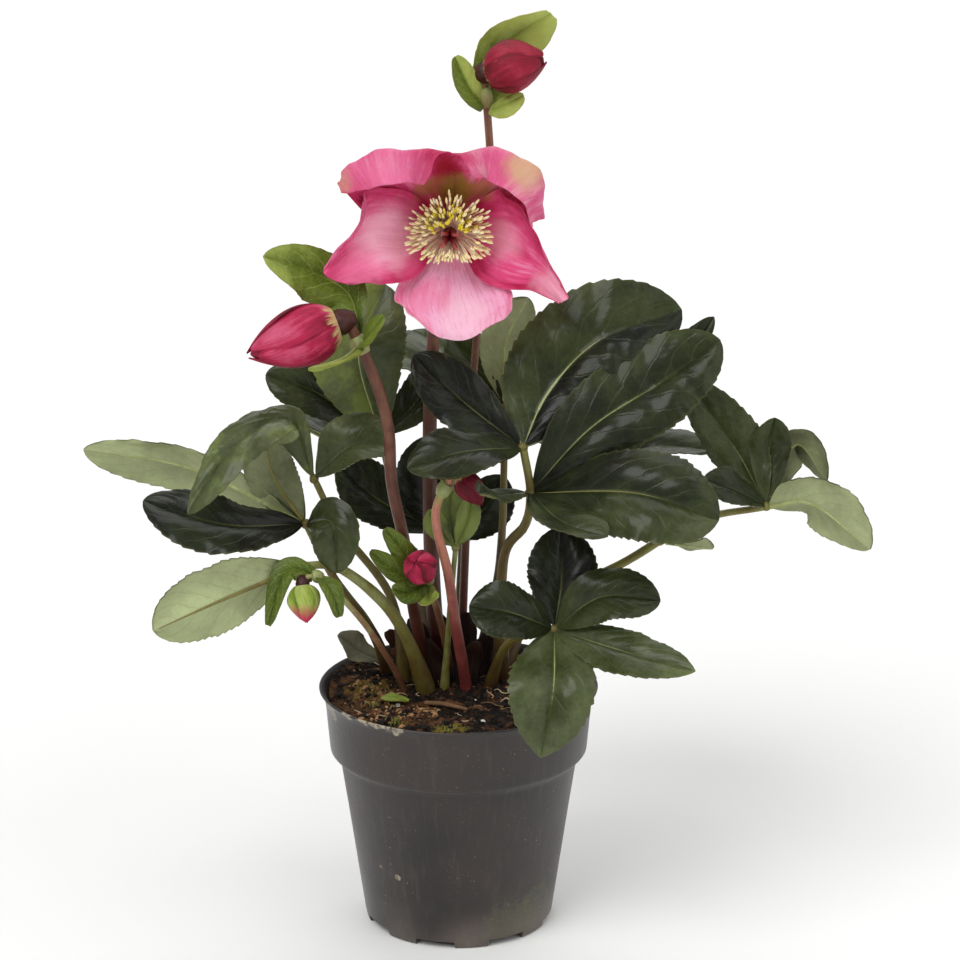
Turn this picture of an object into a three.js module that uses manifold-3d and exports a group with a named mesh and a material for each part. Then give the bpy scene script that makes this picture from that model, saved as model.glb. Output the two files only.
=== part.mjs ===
// A potted hellebore in a nursery pot. Millimetres, +Z up.
// The origin is the centre of the pot's base, on the surface that the pot stands on.

import * as THREE from "three";
import { mergeVertices } from "three/addons/utils/BufferGeometryUtils.js";
import Module from "manifold-3d";

const wasm = await Module();
wasm.setup();

// ---------------------------------------------------------------- driving dimensions

const POT_HEIGHT = 105.5;
const POT_RIM_RADIUS = 60;
const POT_BAND_RADIUS = 57.2;
const POT_BAND_BOTTOM_RADIUS = 55.6;
const POT_BAND_BOTTOM = 79;
const POT_SHOULDER_RADIUS = 51.2;
const POT_SHOULDER_HEIGHT = 73;
const POT_BASE_RADIUS = 41;
const POT_BASE_CHAMFER = 1.5;
const POT_WALL = 1.2;
const POT_FLOOR = 1.8;
const POT_SEGMENTS = 30;
const SOIL_SEGMENTS = 24;
const FOOT_NOTCHES = 8;
const FOOT_NOTCH = { width: 17, height: 3.2, depth: 8 };

const SOIL_LEVEL = 102;
const SOIL_MOUND = { x: -44, y: 14, height: 6, spread: 20 };
const SOIL_CROWN = { x: -2, y: 16, height: 3.5, spread: 26 };
const SOIL_BUMP = 0.8;
const STEM_FOOT = 91;

const SEAT_GAP = 0.3;
const HOLE_GAP = 0.35;
const LEAF_THICKNESS = 0.7;
const SEPAL_THICKNESS = 0.8;

const BLOOM_CENTRE = [-3, -6, 305];
const BLOOM_AXIS = [0, -0.995, -0.1];
const PEG = { radius: 2.6, behind: 3, front: 6.6 };
const STAMEN_COUNT = 22;
const STAMEN_ROOT = { radius: 3.2, height: 5.8 };
const STAMEN_LENGTH = 16;
const HUB_RADIUS = 3.2;
const LEAF_ROOT = 1.4;
const BRACT_ROOT = 2.4;
const SLEEVE_WALL = 1.6;
const NECTARY_COUNT = 8;
const CARPEL_COUNT = 3;

// ---------------------------------------------------------------- colours

const finish = (color, roughness = 0.6) => new THREE.MeshStandardMaterial({ color, roughness, metalness: 0 });

const POT_PLASTIC = finish(0x434041, 0.5);
const SOIL_BROWN = finish(0x47351f, 0.95);
const LEAF_DARK = finish(0x2b3322, 0.35);
const LEAF_GREEN = finish(0x495730, 0.4);
const LEAF_PALE = finish(0x9ca576, 0.6);
const LEAF_YOUNG = finish(0x6f8f3c, 0.45);
const LEAF_WITHERED = finish(0x8a8a74, 0.8);
const STEM_RED = finish(0x6a3a2a, 0.5);
const BRACT_GREEN = finish(0x8e9b48, 0.5);
const SEPAL_PINK = finish(0xdc6d8f, 0.55);
const BUD_PINK = finish(0xc34e68, 0.5);
const BUD_RED = finish(0x8f3244, 0.5);
const STAMEN_CREAM = finish(0xf0dfa8, 0.6);
const NECTARY_YELLOW = finish(0xb7b83c, 0.5);
const CARPEL_RED = finish(0x7a2138, 0.5);
const TWIG_BROWN = finish(0x7d5a3a, 0.9);

// ---------------------------------------------------------------- closed shapes

const at = ([x, y, z]) => new THREE.Vector3(x, y, z);

/** A closed geometry from a list of points and triangles. */
function closed(points, triangles) {
  const geometry = new THREE.BufferGeometry();
  const numbers = points.flatMap((point) => point.toArray());
  geometry.setAttribute("position", new THREE.Float32BufferAttribute(numbers, 3));
  geometry.setIndex(triangles.flat());
  return geometry;
}

/** The solid that a closed geometry encloses, for joining and cutting. */
function solid(geometry) {
  const bare = geometry.clone();
  bare.deleteAttribute("normal");
  bare.deleteAttribute("uv");
  const merged = mergeVertices(bare, 1e-4);
  const mesh = new wasm.Mesh({
    numProp: 3,
    vertProperties: merged.attributes.position.array,
    triVerts: new Uint32Array(merged.index.array),
  });
  return new wasm.Manifold(mesh);
}

/** Several solids grown together into one. */
const grown = (solids) => solids.reduce((whole, piece) => whole.add(piece));

/** The geometry of a joined or cut solid. */
function geometryOf(made) {
  const mesh = made.getMesh();
  const geometry = new THREE.BufferGeometry();
  geometry.setAttribute("position", new THREE.BufferAttribute(new Float32Array(mesh.vertProperties), 3));
  geometry.setIndex(new THREE.BufferAttribute(new Uint32Array(mesh.triVerts), 1));
  return geometry;
}

/** The direction that the upper face of a grid looks in, at one of its points. */
function sheetNormal(grid, i, j) {
  const rows = grid.length - 1;
  const columns = grid[0].length - 1;
  const along = grid[Math.min(i + 1, rows)][j].clone().sub(grid[Math.max(i - 1, 0)][j]);
  const across = grid[i][Math.min(j + 1, columns)].clone().sub(grid[i][Math.max(j - 1, 0)]);
  return across.cross(along).normalize();
}

/** The places of a grid's edge, in order round it. */
function rimOf(rows, columns) {
  const rim = [];
  for (let j = 0; j + 1 < columns; j += 1) rim.push([0, j]);
  for (let i = 0; i + 1 < rows; i += 1) rim.push([i, columns - 1]);
  for (let j = columns - 1; j > 0; j -= 1) rim.push([rows - 1, j]);
  for (let i = rows - 1; i > 0; i -= 1) rim.push([i, 0]);
  return rim;
}

/** A thin closed sheet around a grid of middle points, with the same triangles on both faces. */
function sheet(grid, thickness) {
  const rows = grid.length;
  const columns = grid[0].length;
  const points = [1, -1].flatMap((face) =>
    grid.flatMap((row, i) =>
      row.map((point, j) => point.clone().addScaledVector(sheetNormal(grid, i, j), (face * thickness) / 2)),
    ),
  );
  const top = (i, j) => i * columns + j;
  const under = (i, j) => rows * columns + top(i, j);
  const triangles = [];
  for (let i = 0; i + 1 < rows; i += 1) {
    for (let j = 0; j + 1 < columns; j += 1) {
      triangles.push([top(i, j), top(i, j + 1), top(i + 1, j + 1)]);
      triangles.push([top(i, j), top(i + 1, j + 1), top(i + 1, j)]);
      triangles.push([under(i, j), under(i + 1, j + 1), under(i, j + 1)]);
      triangles.push([under(i, j), under(i + 1, j), under(i + 1, j + 1)]);
    }
  }
  const rim = rimOf(rows, columns);
  rim.forEach(([i, j], k) => {
    const [nextI, nextJ] = rim[(k + 1) % rim.length];
    triangles.push([top(i, j), under(i, j), under(nextI, nextJ)]);
    triangles.push([top(i, j), under(nextI, nextJ), top(nextI, nextJ)]);
  });
  return closed(points, triangles);
}

/** A smooth curve through points given as [x, y, z]. */
const through = (points) => new THREE.CatmullRomCurve3(points.map(at), false, "catmullrom");

/** A list of values read at a place from 0 to 1, with straight stretches between them. */
function valueAt(values, place) {
  const where = place * (values.length - 1);
  const before = Math.min(Math.floor(where), values.length - 2);
  return THREE.MathUtils.lerp(values[before], values[before + 1], where - before);
}

/** One ring of points around a centre. */
function ring(centre, right, up, sides, radiusAt) {
  return Array.from({ length: sides }, (_, k) => {
    const angle = (2 * Math.PI * k) / sides;
    const radius = radiusAt(angle);
    const point = centre.clone().addScaledVector(right, radius * Math.cos(angle));
    return point.addScaledVector(up, radius * Math.sin(angle));
  });
}

/** A closed skin over rings, with a fan to a middle point at each end. */
function skin(rings, first, last) {
  const sides = rings[0].length;
  const points = [...rings.flat(), first, last];
  const firstIndex = rings.length * sides;
  const lastIndex = firstIndex + 1;
  const lastRing = firstIndex - sides;
  const triangles = [];
  for (let k = 0; k < sides; k += 1) {
    const next = (k + 1) % sides;
    for (let low = 0; low < lastRing; low += sides) {
      triangles.push([low + k, low + next, low + sides + next]);
      triangles.push([low + k, low + sides + next, low + sides + k]);
    }
    triangles.push([firstIndex, next, k]);
    triangles.push([lastIndex, lastRing + k, lastRing + next]);
  }
  return closed(points, triangles);
}

/** A closed round rod along points, whose radius runs through the given radii. */
function rod({ points, radii, sides = 5, steps = 6 }, extra = 0) {
  const path = through(points);
  const frames = path.computeFrenetFrames(steps, false);
  const rings = frames.normals.map((right, i) => {
    const radius = valueAt(radii, i / steps) + extra;
    return ring(path.getPointAt(i / steps), right, frames.binormals[i], sides, () => radius);
  });
  return skin(rings, path.getPointAt(0), path.getPointAt(1));
}

/** Two unit vectors square to a direction. */
function crossAxes(direction) {
  const helper = Math.abs(direction.z) < 0.8 ? new THREE.Vector3(0, 0, 1) : new THREE.Vector3(0, 1, 0);
  const right = direction.clone().cross(helper).normalize();
  const up = right.clone().cross(direction).normalize();
  return [right, up];
}

/** A solid turned about an axis: profile rows are [distance along the axis, radius]. */
function turned(base, direction, profile, sides, shape = () => 1) {
  const [right, up] = crossAxes(direction);
  const rings = profile.map(([along, radius]) => {
    const centre = base.clone().addScaledVector(direction, along);
    return ring(centre, right, up.clone().negate(), sides, (angle) => radius * shape(angle, along));
  });
  const place = (along) => base.clone().addScaledVector(direction, along);
  return skin(rings, place(profile[0][0]), place(profile[profile.length - 1][0]));
}

// ---------------------------------------------------------------- pot and soil

/** The pot's outer outline, from its axis at the base up to its rim: [radius, height]. */
const POT_OUTSIDE = [
  [0, 0],
  [POT_BASE_RADIUS - POT_BASE_CHAMFER, 0],
  [POT_BASE_RADIUS, 2 * POT_BASE_CHAMFER],
  [POT_SHOULDER_RADIUS, POT_SHOULDER_HEIGHT],
  [POT_SHOULDER_RADIUS + 1.2, POT_SHOULDER_HEIGHT + 2.6],
  [POT_BAND_BOTTOM_RADIUS - 0.8, POT_BAND_BOTTOM - 2],
  [POT_BAND_BOTTOM_RADIUS, POT_BAND_BOTTOM],
  [POT_BAND_RADIUS, 98],
  [POT_RIM_RADIUS - 1.4, POT_HEIGHT - 2],
  [POT_RIM_RADIUS, POT_HEIGHT - 0.8],
  [POT_RIM_RADIUS, POT_HEIGHT],
];

/** The wall's inner side at a height, worked out from the outer outline. */
function innerRadius(height) {
  const above = POT_OUTSIDE.findIndex((point, i) => i > 2 && point[1] >= height);
  const [r0, z0] = POT_OUTSIDE[above - 1];
  const [r1, z1] = POT_OUTSIDE[above];
  return THREE.MathUtils.mapLinear(height, z0, z1, r0, r1) - POT_WALL;
}

/** A solid turned about the pot's axis from an outline that starts and ends on it. */
function turnedOnAxis(outline, segments) {
  const points = outline.map(([radius, height]) => new THREE.Vector2(radius, height));
  const lathe = new THREE.LatheGeometry(points, segments);
  lathe.rotateX(Math.PI / 2);
  return lathe;
}

function pot() {
  const inside = POT_OUTSIDE.slice(3, -2).map(([, height]) => [innerRadius(height), height]);
  const wall = [
    ...POT_OUTSIDE,
    [POT_RIM_RADIUS - POT_WALL, POT_HEIGHT],
    ...inside.reverse(),
    [POT_BASE_RADIUS - POT_WALL, 5],
    [POT_BASE_RADIUS - 2.6, POT_FLOOR],
    [0, POT_FLOOR],
  ];
  let body = solid(turnedOnAxis(wall, POT_SEGMENTS));
  for (let k = 0; k < FOOT_NOTCHES; k += 1) {
    const block = new THREE.BoxGeometry(FOOT_NOTCH.depth, FOOT_NOTCH.width, FOOT_NOTCH.height);
    block.translate(POT_BASE_RADIUS - FOOT_NOTCH.depth / 2 + 1, 0, FOOT_NOTCH.height / 2 - 0.01);
    block.rotateZ((2 * Math.PI * k) / FOOT_NOTCHES - Math.PI / 2 - 0.25);
    body = body.subtract(solid(block));
  }
  return geometryOf(body);
}

/** The height of a rounded hill at a place. */
function hill({ x, y, height, spread }, px, py) {
  const distance = Math.hypot(px - x, py - y) / spread;
  return height * Math.exp(-distance * distance);
}

/** The height of the soil at a place, with its mound, its rise round the crown and its crumbs. */
function soilHeight(x, y) {
  const crumbs = Math.sin(x * 0.9 + 1.3 * Math.sin(y * 0.7)) * Math.sin(y * 1.1 + 1.7 * Math.sin(x * 0.5));
  return SOIL_LEVEL + hill(SOIL_MOUND, x, y) + hill(SOIL_CROWN, x, y) + SOIL_BUMP * crumbs;
}

/** The soil: it fills the pot with a small gap, its top is uneven, and every stem has a hole in it. */
function soil(stems) {
  const edge = (height) => innerRadius(height) * Math.cos(Math.PI / POT_SEGMENTS) - SEAT_GAP;
  const outline = [
    [0, POT_FLOOR + SEAT_GAP],
    [POT_BASE_RADIUS - 3.8, POT_FLOOR + SEAT_GAP],
    [edge(5) - 0.4, 5.6],
    ...POT_OUTSIDE.slice(3, 7).map(([, height]) => [edge(height), height + 0.4]),
    [edge(98), 98],
    [edge(101), 101],
    ...[50, 40, 30, 20, 10].map((radius) => [radius, SOIL_LEVEL]),
    [0, SOIL_LEVEL],
  ];
  const lathe = turnedOnAxis(outline, SOIL_SEGMENTS);
  const position = lathe.attributes.position;
  for (let i = 0; i < position.count; i += 1) {
    const x = position.getX(i);
    const y = position.getY(i);
    if (position.getZ(i) > SOIL_LEVEL - 0.1) position.setZ(i, soilHeight(x, y));
  }
  return geometryOf(stems.reduce((body, stem) => body.subtract(solid(rod(stem, HOLE_GAP))), solid(lathe)));
}

// ---------------------------------------------------------------- leaves

/** How wide a leaflet is, as a share of its greatest width, from its foot to its tip. */
function leafletProfile(place) {
  const greatest = Math.pow(4 / 7, 0.8) * Math.pow(3 / 7, 0.6);
  return (Math.pow(place, 0.8) * Math.pow(Math.max(1 - place, 0), 0.6)) / greatest;
}

/** How wide a bract is: broad from near its foot, with a blunt tip. */
const bractProfile = (place) => Math.sqrt(Math.max(Math.sin(Math.PI * (0.1 + 0.88 * place)), 0));

const LEAFLET = {
  fold: 0.18,
  lean: 0,
  wave: 1.2,
  teeth: 4,
  bite: 0.08,
  root: LEAF_ROOT,
  widthAt: leafletProfile,
};
const BRACT = { wave: 0.6, teeth: 2, bite: 0.03, root: BRACT_ROOT, widthAt: bractProfile };

/**
 * The middle surface of a leaflet. rib runs from foot to tip, up is where its upper face looks, left and
 * right are its greatest half widths, fold lifts both halves into a V, lean lifts the right one and lowers
 * the left one, and wave raises and lowers the edge.
 * The blade starts at a distance root from the rib's foot, inside what carries it.
 */
function leafletGrid(spec) {
  const { rib, up, left, right, fold, lean, wave, teeth, bite, root, widthAt } = { ...LEAFLET, ...spec };
  const path = through(rib);
  const rows = 2 * teeth;
  const start = root / path.getLength();
  return Array.from({ length: rows + 1 }, (_, i) => {
    const place = i / rows;
    const isTooth = i % 2 === 1;
    const cut = isTooth ? 1 + bite / 2 : 1 - bite;
    const least = place < 0.5 ? 0.9 : 0.3;
    return [-1, 0, 1].map((side) => {
      const reach = start + (1 - start) * (side !== 0 && isTooth ? place + 0.35 / rows : place);
      const tangent = path.getTangent(reach);
      const sideways = tangent.clone().cross(at(up)).normalize();
      const normal = sideways.clone().cross(tangent);
      const width = Math.max((side < 0 ? left : right) * widthAt(place) * cut, least);
      const ripple = wave * Math.sin(2 * Math.PI * (1.5 * place + 0.2 * side)) * widthAt(place);
      const lift = side === 0 ? 0 : width * (fold + lean * side) + ripple;
      return path.getPoint(reach).addScaledVector(sideways, side * width).addScaledVector(normal, lift);
    });
  });
}

const leaflet = (spec) => sheet(leafletGrid(spec), LEAF_THICKNESS);

/** A swelling of a petiole, where leaflets meet. */
function hub(centre, radius) {
  const knot = new THREE.OctahedronGeometry(radius, 0);
  knot.translate(...centre);
  return solid(knot);
}

/** A leaf: its petiole, a hub at its end and at every other joint, and the leaflets, grown together. */
function leaf({ petiole, leaflets, joints = [], teeth = 4 }) {
  const end = petiole.points[petiole.points.length - 1];
  const hubs = [end, ...joints].map((centre) => hub(centre, HUB_RADIUS));
  return grown([solid(rod(petiole)), ...hubs, ...leaflets.map((spec) => solid(leaflet({ teeth, ...spec })))]);
}

/** A stalk that stands upright in the soil at [x, y] and then runs through the given points. */
function standing([x, y], points, radii, steps = 6) {
  return { points: [[x, y, STEM_FOOT], [x, y, 106], ...points], radii, steps };
}

// Each leaf stands in the soil on its petiole. Its leaflets start at or near the petiole's end.
const LEAVES = {
  leaf_right_low: {
    finish: LEAF_DARK,
    petiole: standing([14, 2], [[22, -16, 130], [40, -38, 143]], [2.3, 2, 1.6]),
    leaflets: [
      { rib: [[40, -38, 143], [59, -44, 159], [83, -46, 158]], up: [0, -0.75, 0.65], left: 12, right: 12 },
      { rib: [[40, -38, 143], [69, -58, 140], [96, -70, 136]], up: [0.1, -0.6, 0.8], left: 10, right: 14 },
      {
        rib: [[40, -38, 143], [39, -66, 127], [34, -70, 100]],
        up: [0, -0.9, 0.4],
        left: 17,
        right: 18,
        teeth: 6,
      },
      { rib: [[40, -38, 143], [22, -46, 153], [5, -44, 155]], up: [0, -0.75, 0.65], left: 13, right: 12 },
      { rib: [[40, -38, 143], [43, -28, 160], [43, -18, 181]], up: [0, -0.9, 0.4], left: 14, right: 15 },
    ],
  },
  leaf_right_high: {
    finish: LEAF_DARK,
    petiole: standing(
      [18, 12],
      [[19, -6, 163], [28, -14, 181], [30, -22, 197], [27, -17, 215]],
      [2.8, 2.6, 2.4, 2.2, 1.8],
      10,
    ),
    joints: [[30, -22, 197]],
    leaflets: [
      {
        rib: [[27, -17, 215], [38, -8, 237], [59, -4, 258], [93, 4, 269]],
        up: [-0.35, -0.8, 0.5],
        left: 24,
        right: 22,
        fold: -0.02,
        lean: -0.3,
        teeth: 6,
      },
      { rib: [[27, -17, 215], [3, -8, 232], [-18, -2, 251]], up: [0.1, -0.9, 0.4], left: 13, right: 12 },
      { rib: [[27, -17, 215], [3, -36, 218.5], [-20, -42, 213]], up: [-0.1, -0.6, 0.8], left: 14, right: 12 },
      {
        rib: [[30, -22, 197], [55, -22, 225], [85, -14, 243], [108, -8, 259]],
        up: [-0.3, -0.8, 0.55],
        left: 18,
        right: 18,
        fold: 0.05,
        lean: -0.25,
        teeth: 6,
      },
      { rib: [[30, -22, 197], [76, 0, 222], [107, 8, 265]], up: [-0.2, -0.9, 0.3], left: 10, right: 8 },
      {
        rib: [[30, -22, 197], [72, -50, 205], [105, -58, 196]],
        up: [0.1, -0.8, 0.6],
        left: 20,
        right: 21,
        fold: 0.02,
        teeth: 6,
      },
      { rib: [[30, -22, 197], [42, -56, 195], [60, -68, 192]], up: [0.2, -0.35, 0.9], left: 12, right: 11 },
      { rib: [[30, -22, 197], [17, -48, 203], [9, -58, 207]], up: [-0.1, -0.4, 0.9], left: 9, right: 9 },
    ],
  },
  leaf_far_right: {
    teeth: 3,
    finish: LEAF_DARK,
    petiole: standing(
      [12, 24],
      [[44, 14, 140], [72, 6, 159], [101, -1, 179], [130, -4, 186]],
      [2.4, 2.2, 2, 1.5],
    ),
    joints: [[86, 2, 169]],
    leaflets: [
      { rib: [[130, -4, 186], [118, 8, 207], [97, 8, 237]], up: [-0.3, -0.9, 0.2], left: 11, right: 14 },
      { rib: [[130, -4, 186], [131, 3, 207], [133, 2, 223]], up: [0, -0.9, 0.2], left: 8, right: 9 },
      { rib: [[130, -4, 186], [143, 9, 210], [156, 4, 195]], up: [0.4, 0.7, 0.6], left: 9, right: 8 },
      { rib: [[130, -4, 186], [148, -13, 190], [172, -20, 172]], up: [0.1, 0.9, 0.4], left: 12, right: 13 },
      { rib: [[130, -4, 186], [115, -16, 197], [102, -18, 202]], up: [0, -0.7, 0.7], left: 8, right: 8 },
      { rib: [[86, 2, 169], [99, 12, 164], [110, 20, 160]], up: [0, 0.7, 0.7], left: 5, right: 5 },
    ],
  },
  leaf_left: {
    finish: LEAF_DARK,
    petiole: standing([-31, 14], [[-38, 0, 131], [-52, -16, 158], [-63, -20, 183]], [2.4, 2.2, 1.7]),
    leaflets: [
      { rib: [[-63, -20, 183], [-76, -12, 200], [-82, 0, 216]], up: [-0.2, 0.9, 0.3], left: 10, right: 12 },
      { rib: [[-63, -20, 183], [-95, -34, 187], [-129, -30, 196]], up: [0, -0.6, 0.8], left: 17, right: 12 },
      {
        rib: [[-63, -20, 183], [-112, -2, 202], [-156, -8, 212]],
        up: [-0.1, 0.95, 0.1],
        left: 8,
        right: 13,
        teeth: 5,
      },
      { rib: [[-63, -20, 183], [-51, -42, 190], [-49, -46, 170]], up: [0, -0.9, 0.4], left: 10, right: 10 },
    ],
  },
  leaf_left_low: {
    finish: LEAF_PALE,
    petiole: standing([-15, -3], [[-27, -20, 143], [-48, -32, 167], [-64, -36, 170]], [3.1, 3, 2.6, 1.6]),
    leaflets: [
      {
        rib: [[-64, -36, 170], [-95, -52, 161], [-123, -60, 150]],
        up: [-0.2, 0.9, 0.3],
        left: 16,
        right: 19,
        teeth: 5,
      },
    ],
  },
  leaf_cupped: {
    finish: LEAF_GREEN,
    petiole: standing([-24, 8], [[-29, 2, 144], [-50, -6, 177], [-60, -11, 200]], [2.2, 2, 1.5]),
    leaflets: [
      {
        rib: [[-60, -11, 200], [-44, -17, 216], [-27, -16, 216]],
        up: [0, -0.6, 0.8],
        left: 13,
        right: 13,
        fold: 0.4,
      },
      {
        rib: [[-60, -11, 200], [-70, -14, 226], [-90, -34, 221], [-109, -46, 195]],
        up: [-0.3, -0.7, 0.6],
        left: 13,
        right: 8,
        teeth: 5,
      },
    ],
  },
  leaf_behind_bud: {
    teeth: 3,
    finish: LEAF_GREEN,
    petiole: standing([-18, 28], [[-22, 20, 156], [-33, 14, 211]], [2.3, 2, 1.6]),
    leaflets: [
      {
        rib: [[-33, 14, 211], [-42, 14, 249], [-31, 22, 276]],
        up: [0, -0.95, 0.3],
        left: 21,
        right: 20,
        teeth: 5,
      },
      { rib: [[-33, 14, 211], [-59, 12, 231], [-81, 14, 239]], up: [0.1, -0.9, 0.4], left: 11, right: 11 },
      { rib: [[-33, 14, 211], [-18, 26, 224], [-8, 22, 243]], up: [-0.1, -0.9, 0.4], left: 9, right: 9 },
    ],
  },
  leaf_behind_bloom: {
    teeth: 3,
    finish: LEAF_GREEN,
    petiole: standing([10, 36], [[18, 32, 153], [20, 33, 220]], [2.3, 2, 1.5]),
    leaflets: [
      { rib: [[20, 33, 220], [20, 38, 246], [30, 42, 266]], up: [0, 0.95, 0.2], left: 11, right: 11 },
      { rib: [[20, 33, 220], [8, 40, 236], [-4, 44, 250]], up: [0, -0.9, 0.4], left: 10, right: 9 },
      { rib: [[20, 33, 220], [26, 24, 217], [24, 12, 211]], up: [0.2, -0.8, 0.5], left: 6, right: 6 },
    ],
  },
  leaf_back_left: {
    teeth: 3,
    finish: LEAF_DARK,
    petiole: standing([-10, 40], [[-26, 58, 148], [-46, 68, 190]], [2.4, 2.2, 1.7]),
    leaflets: [
      { rib: [[-46, 68, 190], [-76, 70, 204], [-102, 74, 200]], up: [-0.1, 0.1, 1], left: 15, right: 15 },
      { rib: [[-46, 68, 190], [-72, 92, 200], [-94, 112, 188]], up: [-0.1, 0.3, 1], left: 15, right: 15 },
      { rib: [[-46, 68, 190], [-50, 100, 202], [-56, 130, 190]], up: [0, 0.3, 1], left: 15, right: 15 },
      { rib: [[-46, 68, 190], [-24, 90, 202], [-12, 114, 196]], up: [0.1, 0.2, 1], left: 13, right: 13 },
    ],
  },
  leaf_back_middle: {
    teeth: 3,
    finish: LEAF_GREEN,
    petiole: standing([0, 48], [[2, 62, 160], [8, 66, 214]], [2.5, 2.2, 1.7]),
    leaflets: [
      { rib: [[8, 66, 214], [-20, 62, 234], [-46, 60, 238]], up: [0, -0.3, 1], left: 14, right: 14 },
      { rib: [[8, 66, 214], [-6, 88, 232], [-22, 112, 236]], up: [-0.1, 0.1, 1], left: 14, right: 14 },
      { rib: [[8, 66, 214], [22, 92, 232], [34, 120, 230]], up: [0.1, 0.1, 1], left: 15, right: 15 },
      { rib: [[8, 66, 214], [38, 70, 232], [68, 74, 232]], up: [0.1, -0.2, 1], left: 14, right: 14 },
    ],
  },
  leaf_back_right: {
    teeth: 3,
    finish: LEAF_DARK,
    petiole: standing([22, 34], [[42, 52, 146], [58, 62, 180]], [2.4, 2.2, 1.7]),
    leaflets: [
      { rib: [[58, 62, 180], [84, 54, 196], [112, 50, 196]], up: [0, -0.2, 1], left: 14, right: 14 },
      { rib: [[58, 62, 180], [84, 78, 192], [110, 96, 184]], up: [0.1, 0.2, 1], left: 15, right: 15 },
      { rib: [[58, 62, 180], [66, 92, 190], [72, 122, 178]], up: [0, 0.3, 1], left: 15, right: 15 },
      { rib: [[58, 62, 180], [40, 88, 190], [26, 112, 180]], up: [-0.1, 0.3, 1], left: 13, right: 13 },
    ],
  },
  leaf_back_low: {
    teeth: 3,
    finish: LEAF_DARK,
    petiole: standing([-16, 46], [[-14, 54, 130], [-8, 58, 156]], [2.2, 2, 1.6], 5),
    leaflets: [
      { rib: [[-8, 58, 156], [10, 50, 168], [20, 44, 186]], up: [0, -0.9, 0.4], left: 12, right: 12 },
      { rib: [[-8, 58, 156], [-14, 48, 180], [-16, 42, 204]], up: [0, -0.9, 0.4], left: 13, right: 13 },
      { rib: [[-8, 58, 156], [-36, 56, 172], [-54, 52, 190]], up: [0, -0.8, 0.6], left: 13, right: 13 },
      { rib: [[-8, 58, 156], [-18, 82, 160], [-24, 102, 152]], up: [0, 0.3, 1], left: 14, right: 14 },
    ],
  },
  leaf_young: {
    teeth: 2,
    finish: LEAF_YOUNG,
    petiole: standing([-6, -1], [[-3, -13, 149], [-1, -18, 172]], [1.6, 1.5, 1.2], 5),
    leaflets: [
      { rib: [[-1, -18, 172], [4, -20, 184], [6, -20, 196]], up: [0, -0.9, 0.3], left: 5, right: 5 },
      { rib: [[-1, -18, 172], [-8, -17, 180], [-12, -16, 188]], up: [0, -0.9, 0.3], left: 5, right: 5 },
      { rib: [[-1, -18, 172], [-3, -13, 188], [-2, -8, 200]], up: [0, -0.9, 0.3], left: 5, right: 5 },
    ],
  },
};

// ---------------------------------------------------------------- open bloom

// The five sepals of the bloom, as offsets from its centre. Each net runs from the foot to the tip in
// rows, and each row from one edge to the other, so that its upper face looks out of the bloom.
const SEPALS = {
  lower: [
    [[-5, -1, -4], [-3, -1, -5], [0, -1, -6], [2, -1, -5], [4, -1, -4]],
    [[-16, -3, -15], [-9, -5, -16], [0, -5, -17], [8, -5, -16], [16, -4, -14]],
    [[-22, -13, -24], [-13, -13, -28], [1, -12, -31], [14, -14, -28], [25, -17, -22]],
    [[-17, -21, -31], [-7, -19, -39], [5, -18, -43], [16, -20, -37], [24, -24, -29]],
  ],
  left: [
    [[-5, -1, 6], [-6, -1, 4], [-7, -1, 2], [-6, -1, -1], [-5, -1, -4]],
    [[-17, -12, 17], [-20, -9, 9], [-21, -7, 0], [-18, -8, -9], [-12, -9, -17]],
    [[-32, -21, 19], [-33, -17, 11], [-32, -13, 1], [-29, -13, -9], [-23, -16, -20]],
    [[-35, -20, 9], [-39, -17, 2], [-43, -15, -6], [-40, -15, -14], [-31, -17, -19]],
    [[-39, -18, -1], [-46, -18, -7], [-51, -19, -14], [-47, -18, -18], [-40, -17, -20]],
  ],
  upper_left: [
    [[1, -1, 6.5], [-1, -1, 6.5], [-3, -1, 6.5], [-4, -1, 6], [-5, -1, 4]],
    [[2, -8, 22], [-10, -9, 21], [-17, -9, 17], [-21, -9, 12], [-22, -8, 5]],
    [[2, -17, 33], [-15, -19, 31], [-27, -18, 25], [-33, -16, 16], [-33, -13, 8]],
    [[-5, -23, 33], [-17, -30, 36], [-32, -32, 35], [-41, -30, 28], [-43, -27, 22]],
    [[-10, -25, 22], [-17, -37, 25], [-27, -41, 24], [-36, -38, 22], [-42, -34, 20]],
  ],
  upper_right: [
    [[5, -1, 4], [5, -1, 5.5], [4, -1, 6.5], [1, -1, 6.5], [-1.5, -1, 6.5]],
    [[21, -8, 4], [20, -9, 11], [16, -9, 16], [9, -8, 20], [-3, -6, 21]],
    [[33, -14, 5], [30, -17, 18], [25, -18, 26], [14, -18, 31], [-1, -16, 31]],
    [[37, -22, 8], [38, -28, 18], [34, -33, 31], [20, -31, 36], [5, -23, 33]],
    [[33, -30, 6], [30, -36, 15], [23, -38, 22], [16, -35, 25], [12, -25, 25]],
  ],
  right: [
    [[4, -1, -4], [5, -1, -1], [6, -1, 1], [6, -1, 4], [5, -1, 6]],
    [[11, -10, -18], [16, -8, -11], [19, -7, -2], [19, -9, 7], [16, -13, 16]],
    [[22, -16, -22], [25, -13, -15], [27, -12, -5], [27, -15, 6], [24, -21, 17]],
    [[33, -19, -22], [36, -17, -17], [36, -16, -11], [35, -18, -3], [32, -21, 6]],
    [[44, -21, -27], [46, -22, -26], [48, -22, -24], [45, -22, -19], [41, -21, -13]],
  ],
};

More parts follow.
